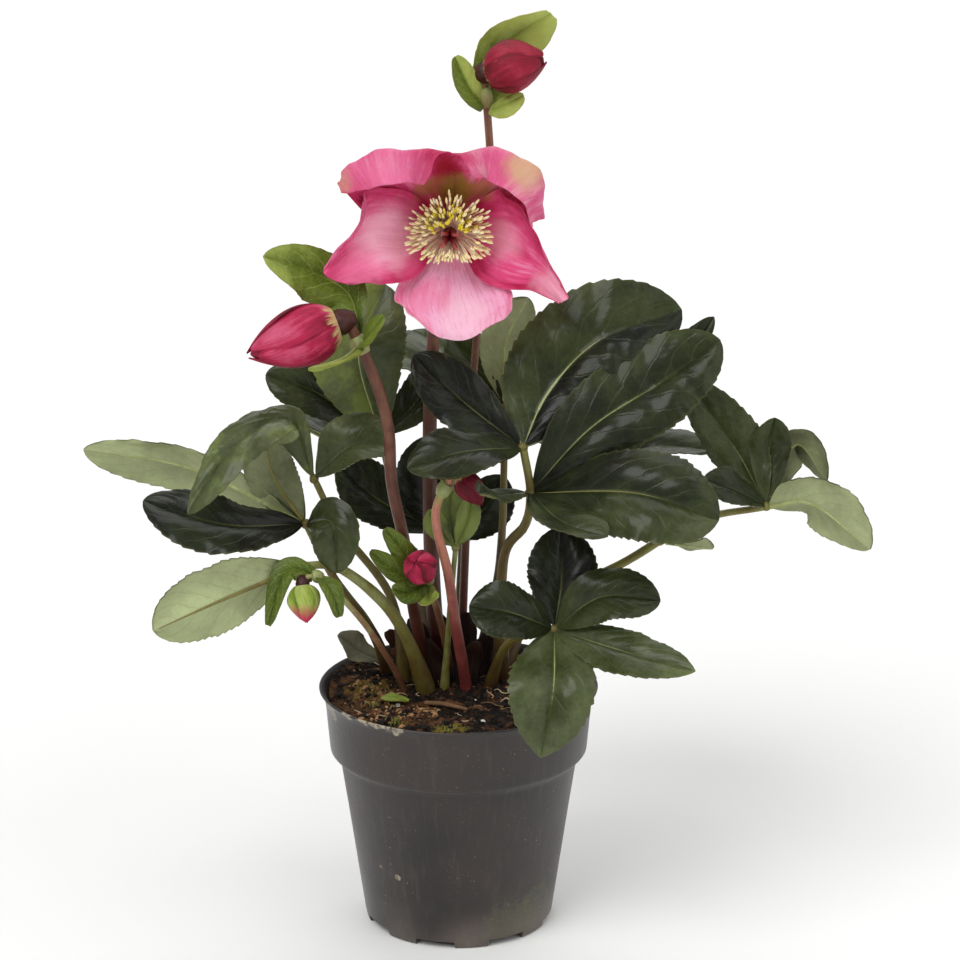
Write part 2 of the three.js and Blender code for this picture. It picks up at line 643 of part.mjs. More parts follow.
/** A smooth grid through a small net of points, rows by columns cells. */
function smoothNet(net, rows, columns) {
  const lengthwise = net[0].map((_, j) => through(net.map((row) => row[j])));
  return Array.from({ length: rows + 1 }, (_, i) => {
    const row = new THREE.CatmullRomCurve3(
      lengthwise.map((curve) => curve.getPoint(i / rows)),
      false,
      "catmullrom",
    );
    return Array.from({ length: columns + 1 }, (_, j) => row.getPoint(j / columns));
  });
}

const bloomCentre = at(BLOOM_CENTRE);
const bloomAxis = at(BLOOM_AXIS).normalize();
const bloomPeg = (extra = 0) =>
  turned(bloomCentre, bloomAxis, [[-PEG.behind, PEG.radius + extra], [PEG.front, PEG.radius + extra]], 8);

/** A short drum on the bloom's axis, with the peg's hole through it. */
function drum(from, to, radius, sides = 10) {
  const outer = turned(bloomCentre, bloomAxis, [[from, radius], [to, radius]], sides);
  return solid(outer).subtract(solid(bloomPeg(SEAT_GAP)));
}

function bloomSepals() {
  const sheets = Object.values(SEPALS).map((net) => {
    const grid = smoothNet(net, net.length + 1, 5);
    return sheet(grid.map((row) => row.map((point) => point.add(bloomCentre))), SEPAL_THICKNESS);
  });
  const disc = turned(bloomCentre, bloomAxis, [[-0.4, 7], [1.8, 7.6]], 12);
  return geometryOf(grown([solid(disc), ...sheets.map(solid)]).subtract(solid(bloomPeg(SEAT_GAP))));
}

/** A point of the bloom from its distance off the axis, its angle round it and its height along it. */
function bloomPoint(radius, angle, height) {
  const [right, up] = crossAxes(bloomAxis);
  const point = bloomCentre.clone().addScaledVector(bloomAxis, height);
  point.addScaledVector(right, radius * Math.cos(angle));
  return point.addScaledVector(up, radius * Math.sin(angle)).toArray();
}

/** The cup-shaped nectaries, in a ring round the peg. */
function nectaries() {
  const tubes = Array.from({ length: NECTARY_COUNT }, (_, k) => {
    const angle = (2 * Math.PI * k) / NECTARY_COUNT;
    const points = [bloomPoint(3.2, angle, 2.8), bloomPoint(5.6, angle, 3.9), bloomPoint(7.6, angle, 6.2)];
    return solid(rod({ points, radii: [0.5, 0.85, 0.8], sides: 4, steps: 2 }));
  });
  return geometryOf(grown([drum(2.1, 3.4, 4.2), ...tubes]));
}

/** The stamens: filaments that spread from a drum round the peg, each with its anther. */
function stamens() {
  const goldenAngle = Math.PI * (3 - Math.sqrt(5));
  const pieces = Array.from({ length: STAMEN_COUNT }, (_, k) => {
    const angle = k * goldenAngle;
    const spread = 0.35 + 0.75 * Math.sqrt((k + 0.5) / STAMEN_COUNT);
    const reach = STAMEN_LENGTH * (0.92 + 0.08 * Math.sin(5 * k));
    const out = reach * Math.sin(spread);
    const along = reach * Math.cos(spread);
    const points = [[0, 0], [0.45, 0.6], [1, 1]].map(([wide, far]) =>
      bloomPoint(STAMEN_ROOT.radius + wide * out, angle, STAMEN_ROOT.height + far * along),
    );
    return solid(rod({ points, radii: [0.42, 0.38, 0.36, 0.9, 0.4], sides: 3, steps: 4 }));
  });
  return geometryOf(grown([drum(4.8, 6.5, 4), ...pieces]));
}

/** The carpels: a knob on the peg's end, with horns that curve apart. */
function carpels() {
  const knob = turned(bloomCentre, bloomAxis, [[PEG.front + SEAT_GAP, 2.4], [PEG.front + 3, 1.4]], 8);
  const horns = Array.from({ length: CARPEL_COUNT }, (_, k) => {
    const angle = (2 * Math.PI * (k + 0.5)) / CARPEL_COUNT;
    const points = [bloomPoint(0.9, angle, 7.6), bloomPoint(1.7, angle, 13), bloomPoint(3.4, angle, 18)];
    return solid(rod({ points, radii: [1.3, 1.2, 0.5], sides: 5, steps: 3 }));
  });
  return geometryOf(grown([solid(knob), ...horns]));
}

// ---------------------------------------------------------------- stems and buds

/** How thick a bud is from its seat to its tip, as a share of its greatest radius. */
const budProfile = (place) => Math.pow(Math.sin(Math.PI * Math.pow(0.08 + 0.92 * place, 0.75)), 0.8);

/** A closed bud: sepals that overlap in a slow twist, from a flat seat to a blunt tip. */
function budSepals({ seat, tip, radius, lobes = 3 }) {
  const direction = at(tip).sub(at(seat));
  const length = direction.length();
  const rows = 5;
  const profile = Array.from({ length: rows + 1 }, (_, i) => {
    const place = i / rows;
    return [place * length, Math.max(radius * budProfile(place), 0.4)];
  });
  const overlap = (angle, along) => {
    const turn = (lobes * angle) / (2 * Math.PI) + (0.5 * along) / length + 10;
    return 0.95 + 0.1 * (turn - Math.floor(turn));
  };
  return turned(at(seat), direction.normalize(), profile, 12, overlap);
}

/** The knob at a stem's end that carries a bud, a small gap under the bud's seat. */
function receptacle({ seat, tip, radius }, extra = 0) {
  const direction = at(tip).sub(at(seat)).normalize();
  const profile = [
    [-0.7 * radius - extra, 0.22 * radius + extra],
    [-0.3 * radius, 0.46 * radius + extra],
    [-SEAT_GAP + extra, 0.46 * radius + extra],
  ];
  return turned(at(seat), direction, profile, 8);
}

/** A bud's stem with its knob. */
const budStem = (bud) => grown([solid(rod(bud.stem)), solid(receptacle(bud))]);

/** The stretch of a stem that carries the bracts, swollen: [from, to] are places along the stem. */
function sleeve({ points, radii }, [from, to], wall) {
  const path = through(points);
  const rings = [0, 0.5, 1].map((share) => THREE.MathUtils.lerp(from, to, share));
  return rod({
    points: rings.map((place) => path.getPointAt(place).toArray()),
    radii: rings.map((place) => valueAt(radii, place) + wall),
    sides: 6,
    steps: 2,
  });
}

/** A bud's bracts: leafy blades on a sleeve, which the stem passes through with a small gap. */
function budBracts({ stem, node, bracts, ...bud }) {
  const blades = bracts.map((spec) => solid(leaflet({ ...BRACT, ...spec })));
  const whole = grown([solid(sleeve(stem, node, SLEEVE_WALL)), ...blades]);
  return whole.subtract(solid(rod(stem, SEAT_GAP))).subtract(solid(receptacle(bud, SEAT_GAP)));
}

const BUDS = {
  bud_left: {
    finish: BUD_PINK,
    seat: [-49, -29, 270],
    tip: [-84, -38, 259],
    radius: 12,
    stem: standing(
      [-14, 12],
      [[-19, -2, 140], [-22, -17, 172], [-27, -27, 203], [-28, -30, 226], [-33, -29, 246], [-43, -28, 269]],
      [2.7, 2.7, 2.6, 2.5, 2.4, 2.2],
      13,
    ),
    node: [0.935, 0.975],
    bracts: [
      {
        rib: [[-39, -28, 261], [-44, -15, 279], [-60, -15, 289], [-78, -26, 297]],
        up: [-0.3, -0.8, 0.5],
        left: 13,
        right: 10,
        teeth: 4,
        widthAt: leafletProfile,
      },
      { rib: [[-39, -28, 261], [-35, -36, 267], [-29, -38, 275]], up: [-0.4, -0.6, 0.7], left: 5, right: 5 },
      { rib: [[-39, -28, 261], [-46, -42, 258], [-59, -48, 256]], up: [0, -0.5, -0.8], left: 4, right: 5 },
    ],
  },
  bud_top: {
    finish: BUD_RED,
    seat: [13, 4, 367.5],
    tip: [35.5, -4, 374],
    radius: 10,
    stem: standing(
      [1, 30],
      [[6, 22, 228], [13, 12, 314], [12.5, 8, 348], [10, 5.5, 365]],
      [2, 1.8, 1.6, 1.6],
      10,
    ),
    node: [0.955, 0.985],
    bracts: [
      { rib: [[12, 7, 352], [17, 18, 374.5], [38, 10, 390.5]], up: [0.3, -0.8, -0.4], left: 12, right: 15 },
      { rib: [[12, 7, 352], [5, 2, 361], [-1, 0, 374]], up: [0.4, -0.8, 0.3], left: 6, right: 6 },
      {
        rib: [[12, 7, 352], [19, 2, 354.5], [27, 0, 358.5]],
        up: [0.2, -0.8, 0.6],
        left: 3,
        right: 6,
        fold: 0,
      },
    ],
  },
  bud_middle: {
    finish: BUD_PINK,
    seat: [-14.5, -25.5, 165],
    tip: [-17, -39, 172],
    radius: 6.8,
    stem: standing([-3, 9], [[-8, -7, 138], [-14, -22, 163.5]], [1.6, 1.5], 6),
    node: [0.9, 0.96],
    bracts: [
      { rib: [[-13, -17.5, 158], [-24, -27, 164], [-36, -33, 175]], up: [0, -0.8, 0.5], left: 5, right: 5 },
      { rib: [[-13, -17.5, 158], [-21, -25, 171], [-30, -30, 184]], up: [0, -0.9, 0.3], left: 5, right: 5 },
      { rib: [[-13, -17.5, 158], [-20, -29, 156], [-27, -37, 160]], up: [0, -0.8, 0.5], left: 5, right: 5 },
      {
        rib: [[-13, -17.5, 157], [-12, -29, 153], [-8, -38, 157]],
        up: [0, -0.7, 0.6],
        left: 4.5,
        right: 4.5,
      },
    ],
  },
  bud_hidden: {
    finish: BUD_RED,
    seat: [2, -32, 207],
    tip: [10, -36, 196],
    radius: 5.5,
    stem: standing(
      [3, -1],
      [[-1, -15, 137], [-4, -22, 162], [-9, -27, 190], [-1, -31, 209]],
      [2.6, 2.4, 2, 1.6],
      9,
    ),
    node: [0.9, 0.95],
    bracts: [
      { rib: [[-5, -29, 201], [-2, -23, 211], [9, -24, 212]], up: [0, 0.2, 0.9], left: 4, right: 4 },
    ],
  },
  bud_small: {
    finish: BUD_PINK,
    seat: [-63, -47, 164.5],
    tip: [-61.5, -53, 151],
    radius: 6.5,
    stem: standing([-24, -5], [[-38, -31, 142], [-56, -44, 167], [-63, -46, 167]], [1.4, 1.3, 1.2], 8),
    node: [0.91, 0.96],
    bracts: [
      {
        rib: [[-57, -44, 168], [-51, -52, 165], [-48, -55, 154]],
        up: [0.5, -0.7, 0.4],
        left: 4.5,
        right: 4.5,
      },
      { rib: [[-57, -44, 168], [-70, -45, 170], [-77, -51, 149]], up: [-0.4, -0.8, 0.4], left: 5, right: 5 },
    ],
  },
};

const BLOOM_STEM = standing(
  [-7, 20],
  [[-11, 15, 141], [-12, 10, 217], [-9, 10, 272], [-4, 5, 299], [-3, -3.5, 304.6]],
  [3.6, 3.5, 3.3, 3, 2.6, 2.6],
  12,
);

// ---------------------------------------------------------------- litter on the soil

const LITTER = {
  withered_leaf: {
    finish: LEAF_WITHERED,
    blade: {
      rib: [[-33, 26, 105.9], [-43, 26, 111.1], [-53, 24, 119.1]],
      up: [0.3, -0.5, 0.8],
      left: 8,
      right: 7,
    },
  },
  fallen_bract: {
    finish: BRACT_GREEN,
    blade: {
      rib: [[-34, -14, 103.7], [-28, -16, 104.9], [-21, -17, 103.7]],
      up: [0, 0, 1],
      left: 4,
      right: 4,
      wave: 0.3,
    },
  },
};

const TWIG = {
  points: [[-14, -20, 104.05], [-6, -22, 104.25], [4, -27, 103.65]],
  radii: [0.9, 1.1, 0.7],
  steps: 4,
};

// ---------------------------------------------------------------- the potted plant

function add(group, name, geometry, material) {
  geometry.computeVertexNormals();
  const mesh = new THREE.Mesh(geometry, material);
  mesh.name = name;
  group.add(mesh);
}

const plant = new THREE.Group();
const petioles = Object.values(LEAVES).map((spec) => spec.petiole);
const stems = [BLOOM_STEM, ...Object.values(BUDS).map((bud) => bud.stem)];

add(plant, "pot", pot(), POT_PLASTIC);
add(plant, "soil", soil([...petioles, ...stems]), SOIL_BROWN);
for (const [name, spec] of Object.entries(LEAVES)) {
  add(plant, name, geometryOf(leaf(spec)), spec.finish);
}
add(plant, "bloom_stem", geometryOf(grown([solid(rod(BLOOM_STEM)), solid(bloomPeg())])), STEM_RED);
add(plant, "bloom_sepals", bloomSepals(), SEPAL_PINK);
add(plant, "bloom_nectaries", nectaries(), NECTARY_YELLOW);
add(plant, "bloom_stamens", stamens(), STAMEN_CREAM);
add(plant, "bloom_carpels", carpels(), CARPEL_RED);
for (const [name, bud] of Object.entries(BUDS)) {
  add(plant, `${name}_stem`, geometryOf(budStem(bud)), STEM_RED);
  add(plant, `${name}_sepals`, budSepals(bud), bud.finish);
  add(plant, `${name}_bracts`, geometryOf(budBracts(bud)), BRACT_GREEN);
}
for (const [name, { finish: material, blade }] of Object.entries(LITTER)) {
  add(plant, name, leaflet(blade), material);
}
add(plant, "twig", rod(TWIG), TWIG_BROWN);

export default plant;
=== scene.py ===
"""A potted hellebore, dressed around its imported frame: leaves, flower, buds, stems, soil and pot."""

import logging
import math
import random
from bisect import bisect_left
from collections.abc import Callable, Sequence
from dataclasses import dataclass, field, replace
from enum import Enum
from typing import ClassVar

import bpy
from mathutils import Matrix, Vector, noise

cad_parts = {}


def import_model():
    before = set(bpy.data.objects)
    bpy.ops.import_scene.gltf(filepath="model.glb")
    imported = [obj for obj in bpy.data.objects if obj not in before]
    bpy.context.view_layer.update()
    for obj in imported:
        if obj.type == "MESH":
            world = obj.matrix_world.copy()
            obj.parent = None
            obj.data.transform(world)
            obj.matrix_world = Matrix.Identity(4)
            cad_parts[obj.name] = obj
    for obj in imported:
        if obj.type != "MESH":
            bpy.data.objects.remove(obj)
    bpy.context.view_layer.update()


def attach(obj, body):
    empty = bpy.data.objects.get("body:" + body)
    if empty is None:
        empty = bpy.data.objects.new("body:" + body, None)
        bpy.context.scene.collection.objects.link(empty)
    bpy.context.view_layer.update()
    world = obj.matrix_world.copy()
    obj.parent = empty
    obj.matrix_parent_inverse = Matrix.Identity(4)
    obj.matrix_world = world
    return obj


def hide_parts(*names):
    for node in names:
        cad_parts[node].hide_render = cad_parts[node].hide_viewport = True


LOG = logging.getLogger("hellebore")
BODY = "root"
MM = 0.001
TINY = 1e-9
SEAM = 2e-6
SIDE_SLANT = 0.34
STEM_FOOT = 91.0
SOIL_TOP = 106.0

Point = tuple[float, float, float]
Profile = Sequence[tuple[float, float]]
Colour = tuple[float, float, float, float]
Stops = tuple[tuple[float, Colour], ...]
ColourZones = tuple[tuple[Point, float, Colour, float], ...]
Place = Callable[[float, float], Vector]
Formula = Callable[[float, float], float]
Piece = bpy.types.Object
Node = bpy.types.Node
Socket = bpy.types.NodeSocket
Tree = bpy.types.NodeTree


# ---------------------------------------------------------------- curves and numbers


def smooth(low: float, high: float, value: float) -> float:
    """Returns 0 below low and 1 above high, with a smooth rise between them."""
    share = min(max((value - low) / (high - low), 0.0), 1.0)
    return share * share * (3 - 2 * share)


def between(values: Sequence[float], place: float) -> float:
    """Reads a list of values at a place from 0 to 1, with straight stretches between them."""
    where = place * (len(values) - 1)
    before = min(int(where), len(values) - 2)
    return values[before] + (values[before + 1] - values[before]) * (where - before)


def tone(red: int, green: int, blue: int) -> Colour:
    """Turns a display colour, 0 to 255, into the linear colour that the shaders take."""
    parts = (red, green, blue)
    linear = [((part / 255 + 0.055) / 1.055) ** 2.4 if part > 10 else part / 3294 for part in parts]
    return (*linear, 1.0)


class SmoothPath:
    """A smooth curve through points, in millimetres."""

    samples: ClassVar[int] = 120

    def __init__(self, points: Sequence[Sequence[float]]) -> None:
        """Keeps the points, with one more past each end.

        Args:
            points: The points that the curve runs through.
        """
        inner = [Vector(point) for point in points]
        self.spans = len(inner) - 1
        self.points = [2 * inner[0] - inner[1], *inner, 2 * inner[-1] - inner[-2]]
        self.reached: list[float] = []

    def at(self, place: float) -> Vector:
        """Returns the point at a place from 0 to 1, counted span by span.

        Args:
            place: The place.

        Returns:
            The point, in millimetres.
        """
        where = min(max(place, 0.0), 1.0) * self.spans
        index = min(int(where), self.spans - 1)
        t = where - index
        before, start, end, after = self.points[index : index + 4]
        leaving = (end - before) * 0.5
        arriving = (after - start) * 0.5
        bend = start * (2 * t**3 - 3 * t**2 + 1) + end * (3 * t**2 - 2 * t**3)
        return bend + leaving * (t**3 - 2 * t**2 + t) + arriving * (t**3 - t**2)

    def tangent(self, place: float) -> Vector:
        """Returns the curve's direction at a place."""
        return (self.at(place + 0.001) - self.at(place - 0.001)).normalized()

    def measure(self) -> float:
        """Returns the curve's length, and keeps how far each of its samples lies along it.

        Returns:
            The length, in millimetres.
        """
        if not self.reached:
            walk = [self.at(i / self.samples) for i in range(self.samples + 1)]
            self.reached = [0.0]
            for before, after in zip(walk, walk[1:]):
                self.reached.append(self.reached[-1] + (after - before).length)
        return self.reached[-1]

    def even(self, share: float) -> float:
        """Returns the place that lies a share of the curve's length along it."""
        target = share * self.measure()
        index = min(max(bisect_left(self.reached, target), 1), self.samples)
        low, high = self.reached[index - 1 : index + 1]
        return (index - 1 + (target - low) / max(high - low, TINY)) / self.samples

    def frames(self, steps: int) -> list[tuple[Vector, Vector, Vector]]:
        """Returns evenly spaced points of the curve with two cross directions that don't twist.

        Args:
            steps: How many stretches the curve is cut into.

        Returns:
            One (point, right, up) for each of the steps + 1 points.
        """
        places = [self.even(i / steps) for i in range(steps + 1)]
        heading = self.tangent(places[0])
        helper = Vector((0, 0, 1)) if abs(heading.z) < 0.8 else Vector((1, 0, 0))
        right = heading.cross(helper).normalized()
        made = []
        for place in places:
            heading = self.tangent(place)
            right = (right - heading * right.dot(heading)).normalized()
            made.append((self.at(place), right, heading.cross(right)))
        return made


# ---------------------------------------------------------------- mesh work


def clear_selection() -> None:
    """Leaves nothing selected."""
    bpy.ops.object.select_all(action="DESELECT")


def select(*pieces: Piece) -> None:
    """Selects these pieces alone and makes the first one active."""
    clear_selection()
    for piece in pieces:
        piece.select_set(True)
    bpy.context.view_layer.objects.active = pieces[0]


def sheet(name: str, columns: int, rows: int, place: Place, relief: Formula | None = None) -> Piece:
    """Makes a sheet from a grid primitive whose corners are laid out by a formula.

    Args:
        name: The piece's name.
        columns: How many faces the sheet has across.
        rows: How many faces it has along.
        place: Gives a corner's place in millimetres from how far across and along it lies, 0 to 1.
        relief: Gives how far a corner then stands out along the sheet's normal, in millimetres.

    Returns:
        The new piece, whose UV map holds the same two numbers.
    """
    clear_selection()
    bpy.ops.mesh.primitive_grid_add(x_subdivisions=columns, y_subdivisions=rows, size=1.0)
    piece = bpy.context.active_object
    piece.name = name
    piece.data.name = name
    corners = piece.data.vertices
    spots = [(min(max(v.co.x + 0.5, 0.0), 1.0), min(max(v.co.y + 0.5, 0.0), 1.0)) for v in corners]
    for vertex, spot in zip(corners, spots):
        vertex.co = place(*spot) * MM
    if relief:
        piece.data.update()
        normals = [vertex.normal.copy() for vertex in corners]
        for vertex, normal, spot in zip(corners, normals, spots):
            vertex.co += normal * relief(*spot) * MM
    return piece


def close_up(piece: Piece) -> Piece:
    """Merges a piece's seam and poles, and turns its faces outwards.

    Args:
        piece: The piece.

    Returns:
        The same piece.
    """
    select(piece)
    bpy.ops.object.mode_set(mode="EDIT")
    bpy.ops.mesh.select_all(action="SELECT")
    bpy.ops.mesh.remove_doubles(threshold=SEAM)
    bpy.ops.mesh.normals_make_consistent(inside=False)
    bpy.ops.object.mode_set(mode="OBJECT")
    return piece


def tube(
    name: str,
    points: Sequence[Sequence[float]],
    radii: Sequence[float],
    sides: int,
    steps: int,
    swell: Formula | None = None,
) -> Piece:
    """Makes a closed round tube along points.

    Args:
        name: The piece's name.
        points: The points that the tube runs through, in millimetres.
        radii: Radii that its thickness runs through from end to end, in millimetres.
        sides: How many sides it has.
        steps: How many stretches it has.
        swell: Multiplies the radius at (share of the way round, share of the way along).

    Returns:
        The new piece.
    """
    frames = SmoothPath(points).frames(steps)

    def place(across: float, along: float) -> Vector:
        """Lays one corner on its ring, and the end rings on their middle."""
        index = round(along * (steps + 2))
        inner = min(max(index - 1, 0), steps)
        centre, right, up = frames[inner]
        if index in (0, steps + 2):
            return centre
        angle = 2 * math.pi * across
        radius = between(radii, inner / steps) * (swell(across, inner / steps) if swell else 1.0)
        return centre + (right * math.cos(angle) + up * math.sin(angle)) * radius

    return close_up(sheet(name, sides, steps + 2, place))


def thicken(piece: Piece, thickness: float) -> Piece:
    """Gives a sheet its thickness, and its underside the finish of the second slot.

    Args:
        piece: The sheet.
        thickness: In millimetres.

    Returns:
        The same piece.
    """
    select(piece)
    wall = piece.modifiers.new("thickness", "SOLIDIFY")
    wall.thickness = thickness * MM
    wall.offset = 0.0
    wall.use_rim = True
    wall.material_offset = 1
    bpy.ops.object.modifier_apply(modifier=wall.name)
    return piece


def joined(name: str, pieces: Sequence[Piece]) -> Piece:
    """Joins pieces into one, under a name.

    Args:
        name: The name.
        pieces: The pieces.

    Returns:
        The joined piece.
    """
    select(*pieces)
    if len(pieces) > 1:
        bpy.ops.object.join()
    whole = bpy.context.view_layer.objects.active
    whole.name = name
    whole.data.name = name
    return whole


def tint(piece: Piece, values: float | Callable[[Vector], float]) -> Piece:
    """Stores a shade on a piece's corners, which its finish reads under the name "shade".

    Args:
        piece: The piece.
        values: One shade for all of it, or a formula from a corner's place in metres.

    Returns:
        The same piece.
    """
    shades = piece.data.attributes.get("shade") or piece.data.attributes.new("shade", "FLOAT", "POINT")
    for vertex, stored in zip(piece.data.vertices, shades.data):
        stored.value = values(vertex.co) if callable(values) else values
    return piece


def tint_spread(piece: Piece, values: Formula) -> Piece:
    """Stores a shade on a sheet's corners by a formula from how far across and along each lies.

    Args:
        piece: The sheet.
        values: Gives the shade.

    Returns:
        The same piece.
    """
    tint(piece, 0.0)
    shades = piece.data.attributes["shade"].data
    spread = piece.data.uv_layers.active.data
    for loop in piece.data.loops:
        shades[loop.vertex_index].value = values(*spread[loop.index].uv)
    return piece


def along_tint(piece: Piece, first: float, last: float) -> Piece:
    """Runs the shade of a tube from one value at its lowest corner to another at its highest."""
    heights = [vertex.co.z for vertex in piece.data.vertices]
    low, high = min(heights), max(heights)
    return tint(piece, lambda co: first + (last - first) * (co.z - low) / max(high - low, TINY))


def paint(piece: Piece, *finishes: "Finish") -> Piece:
    """Gives a piece its finishes, one a slot."""
    piece.data.materials.clear()
    for finish in finishes:
        piece.data.materials.append(finish.material())
    return piece


def copies(name: str, models: Sequence[Piece], places: Sequence[Matrix]) -> Piece:
    """Copies small models to many places, each copy with its own mesh, and joins them into one piece.

    Args:
        name: The piece's name.
        models: Models in metres around the origin, used in turn and removed at the end.
        places: One placing for each copy.

    Returns:
        The joined piece.
    """
    made = []
    for index, matrix in enumerate(places):
        model = models[index % len(models)]
        copy = model.copy()
        copy.data = model.data.copy()
        copy.data.transform(matrix)
        bpy.context.scene.collection.objects.link(copy)
        made.append(copy)
    for model in models:
        bpy.data.objects.remove(model)
    return joined(name, made)


def finish_piece(piece: Piece, nodes: Sequence[str], angle: float = 50.0) -> None:
    """Smooths a finished piece, and ties it to the frame.

    Args:
        piece: The piece, at its place.
        nodes: The frame's nodes that it stands for.
        angle: Edges sharper than this, in degrees, stay sharp.
    """
    select(piece)
    bpy.ops.object.shade_smooth_by_angle(angle=math.radians(angle))
    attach(piece, BODY)
    if nodes:
        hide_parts(*nodes)
    LOG.info("%s: %d faces", piece.name, len(piece.data.polygons))


# ---------------------------------------------------------------- shader graphs


class Graph:
    """Places shader nodes in one tree and links them."""

    def __init__(self, tree: Tree) -> None:
        """Keeps the tree that the nodes go into."""
        self.tree = tree

    def add(self, kind: str, inputs: dict | None = None, **settings: object) -> Node:
        """Adds a node.

        Args:
            kind: Its type's name without the word ShaderNode.
            inputs: Values or sockets for its inputs, by name or number.
            settings: Its other settings.

        Returns:
            The node.
        """
        node = self.tree.nodes.new("ShaderNode" + kind)
        for name, value in settings.items():
            setattr(node, name, value)
        for name, value in (inputs or {}).items():
            self.feed(node.inputs[name], value)
        return node

    def feed(self, socket: Socket, value: object) -> None:
        """Links a socket into an input, or sets the input's own value."""
        if isinstance(value, Socket):
            self.tree.links.new(value, socket)
        else:
            socket.default_value = value

    def math(self, operation: str, *values: object) -> Socket:
        """Returns the result of one arithmetic step."""
        return self.add("Math", dict(enumerate(values)), operation=operation).outputs[0]

    def times(self, first: object, second: object) -> Socket:
        """Returns a product."""
        return self.math("MULTIPLY", first, second)

    def plus(self, value: object, amount: object, base: object) -> Socket:
        """Returns a base with a value, taken as many times as amount says, added to it."""
        return self.math("MULTIPLY_ADD", value, amount, base)

    def swing(self, value: object, amount: object, base: object) -> Socket:
        """Returns a base moved up and down around itself by a value from 0 to 1."""
        return self.plus(self.math("SUBTRACT", value, 0.5), amount, base)

    def mix(self, factor: object, first: object, second: object) -> Socket:
        """Returns the mix of two colours."""
        return self.add("Mix", {0: factor, 6: first, 7: second}, data_type="RGBA").outputs[2]

    def layer(self, colour: object, stain: object, mask: object, share: object) -> Socket:
        """Returns a colour with another colour laid over it where a mask is, as strong as a share."""
        return self.mix(self.times(mask, share), colour, stain)

    def rise(self, value: object, low: float, high: float, top: float = 1.0) -> Socket:
        """Returns 0 below low and top above high, smoothly; low may be the larger of the two."""
        inputs = {"Value": value, "From Min": min(low, high), "From Max": max(low, high)}
        inputs.update({"To Min": 0.0 if low < high else top, "To Max": top if low < high else 0.0})
        return self.add("MapRange", inputs, interpolation_type="SMOOTHSTEP").outputs[0]

    def noise(self, where: object, scale: float, detail: float) -> Socket:
        """Returns soft noise, about 0.3 to 0.7."""
        inputs = {"Vector": where, "Scale": scale, "Detail": detail, "Roughness": 0.55}
        return self.add("TexNoise", inputs).outputs[0]

    def stretch(self, where: object, scales: Point) -> Socket:
        """Returns coordinates stretched by three scales."""
        return self.add("VectorMath", {0: where, 1: scales}, operation="MULTIPLY").outputs[0]

    def split(self, where: object) -> bpy.types.NodeOutputs:
        """Returns the three parts of a place."""
        return self.add("SeparateXYZ", {0: where}).outputs

    def off_middle(self, across: object) -> Socket:
        """Returns how far a place lies off the middle line: 0 on it and 1 at either edge."""
        return self.math("ABSOLUTE", self.plus(across, 2.0, -1.0))

    def cells(self, where: object, scale: float, feature: str = "F1") -> Socket:
        """Returns the distance to the nearest of scattered points, or to the edge between their cells."""
        return self.add("TexVoronoi", {"Vector": where, "Scale": scale}, feature=feature).outputs["Distance"]

    def ramp(self, factor: object, stops: Stops) -> Socket:
        """Returns a colour that runs through stops.

        Args:
            factor: Where between the stops, 0 to 1.
            stops: The stops: place and colour.

        Returns:
            The colour.
        """
        node = self.add("ValToRGB", {0: factor})
        elements = node.color_ramp.elements
        while len(elements) < len(stops):
            elements.new(0.5)
        for element, (position, colour) in zip(elements, stops):
            element.position = position
            element.color = colour
        return node.outputs[0]

    def shade(self) -> Socket:
        """Returns the shade stored on the piece."""
        return self.add("Attribute", attribute_name="shade").outputs["Fac"]

    def place(self) -> Socket:
        """Returns the object's own coordinates, in metres."""
        return self.add("TexCoord").outputs["Object"]

    def spread(self) -> Socket:
        """Returns the piece's UV coordinates: across and along."""
        return self.add("TexCoord").outputs["UV"]

    def group(self, tree: Tree, **inputs: object) -> bpy.types.NodeOutputs:
        """Places a shared node group, and returns its outputs."""
        node = self.add("Group", node_tree=tree)
        for name, value in inputs.items():
            self.feed(node.inputs[name.replace("_", " ")], value)
        return node.outputs

    def bump(self, height: object, strength: float, distance: float) -> Socket:
        """Returns a normal that a height bends; distance is in millimetres."""
        inputs = {"Height": height, "Strength": strength, "Distance": distance * MM}
        return self.add("Bump", inputs).outputs[0]


class Ports:
    """A shared node group with named inputs and outputs."""

    def __init__(self, name: str, inputs: dict[str, object], outputs: Sequence[str]) -> None:
        """Makes the group's sockets.

        Args:
            name: The group's name.
            inputs: Starting values by name; a tuple makes a vector input.
            outputs: The names of its number outputs.
        """
        self.tree = bpy.data.node_groups.new(name, "ShaderNodeTree")
        for label, value in inputs.items():
            kind = "NodeSocketVector" if isinstance(value, tuple) else "NodeSocketFloat"
            socket = self.tree.interface.new_socket(name=label, in_out="INPUT", socket_type=kind)
            socket.default_value = value
        for label in outputs:
            self.tree.interface.new_socket(name=label, in_out="OUTPUT", socket_type="NodeSocketFloat")
        self.graph = Graph(self.tree)
        self.entry = self.tree.nodes.new("NodeGroupInput").outputs
        self.leave = self.tree.nodes.new("NodeGroupOutput").inputs


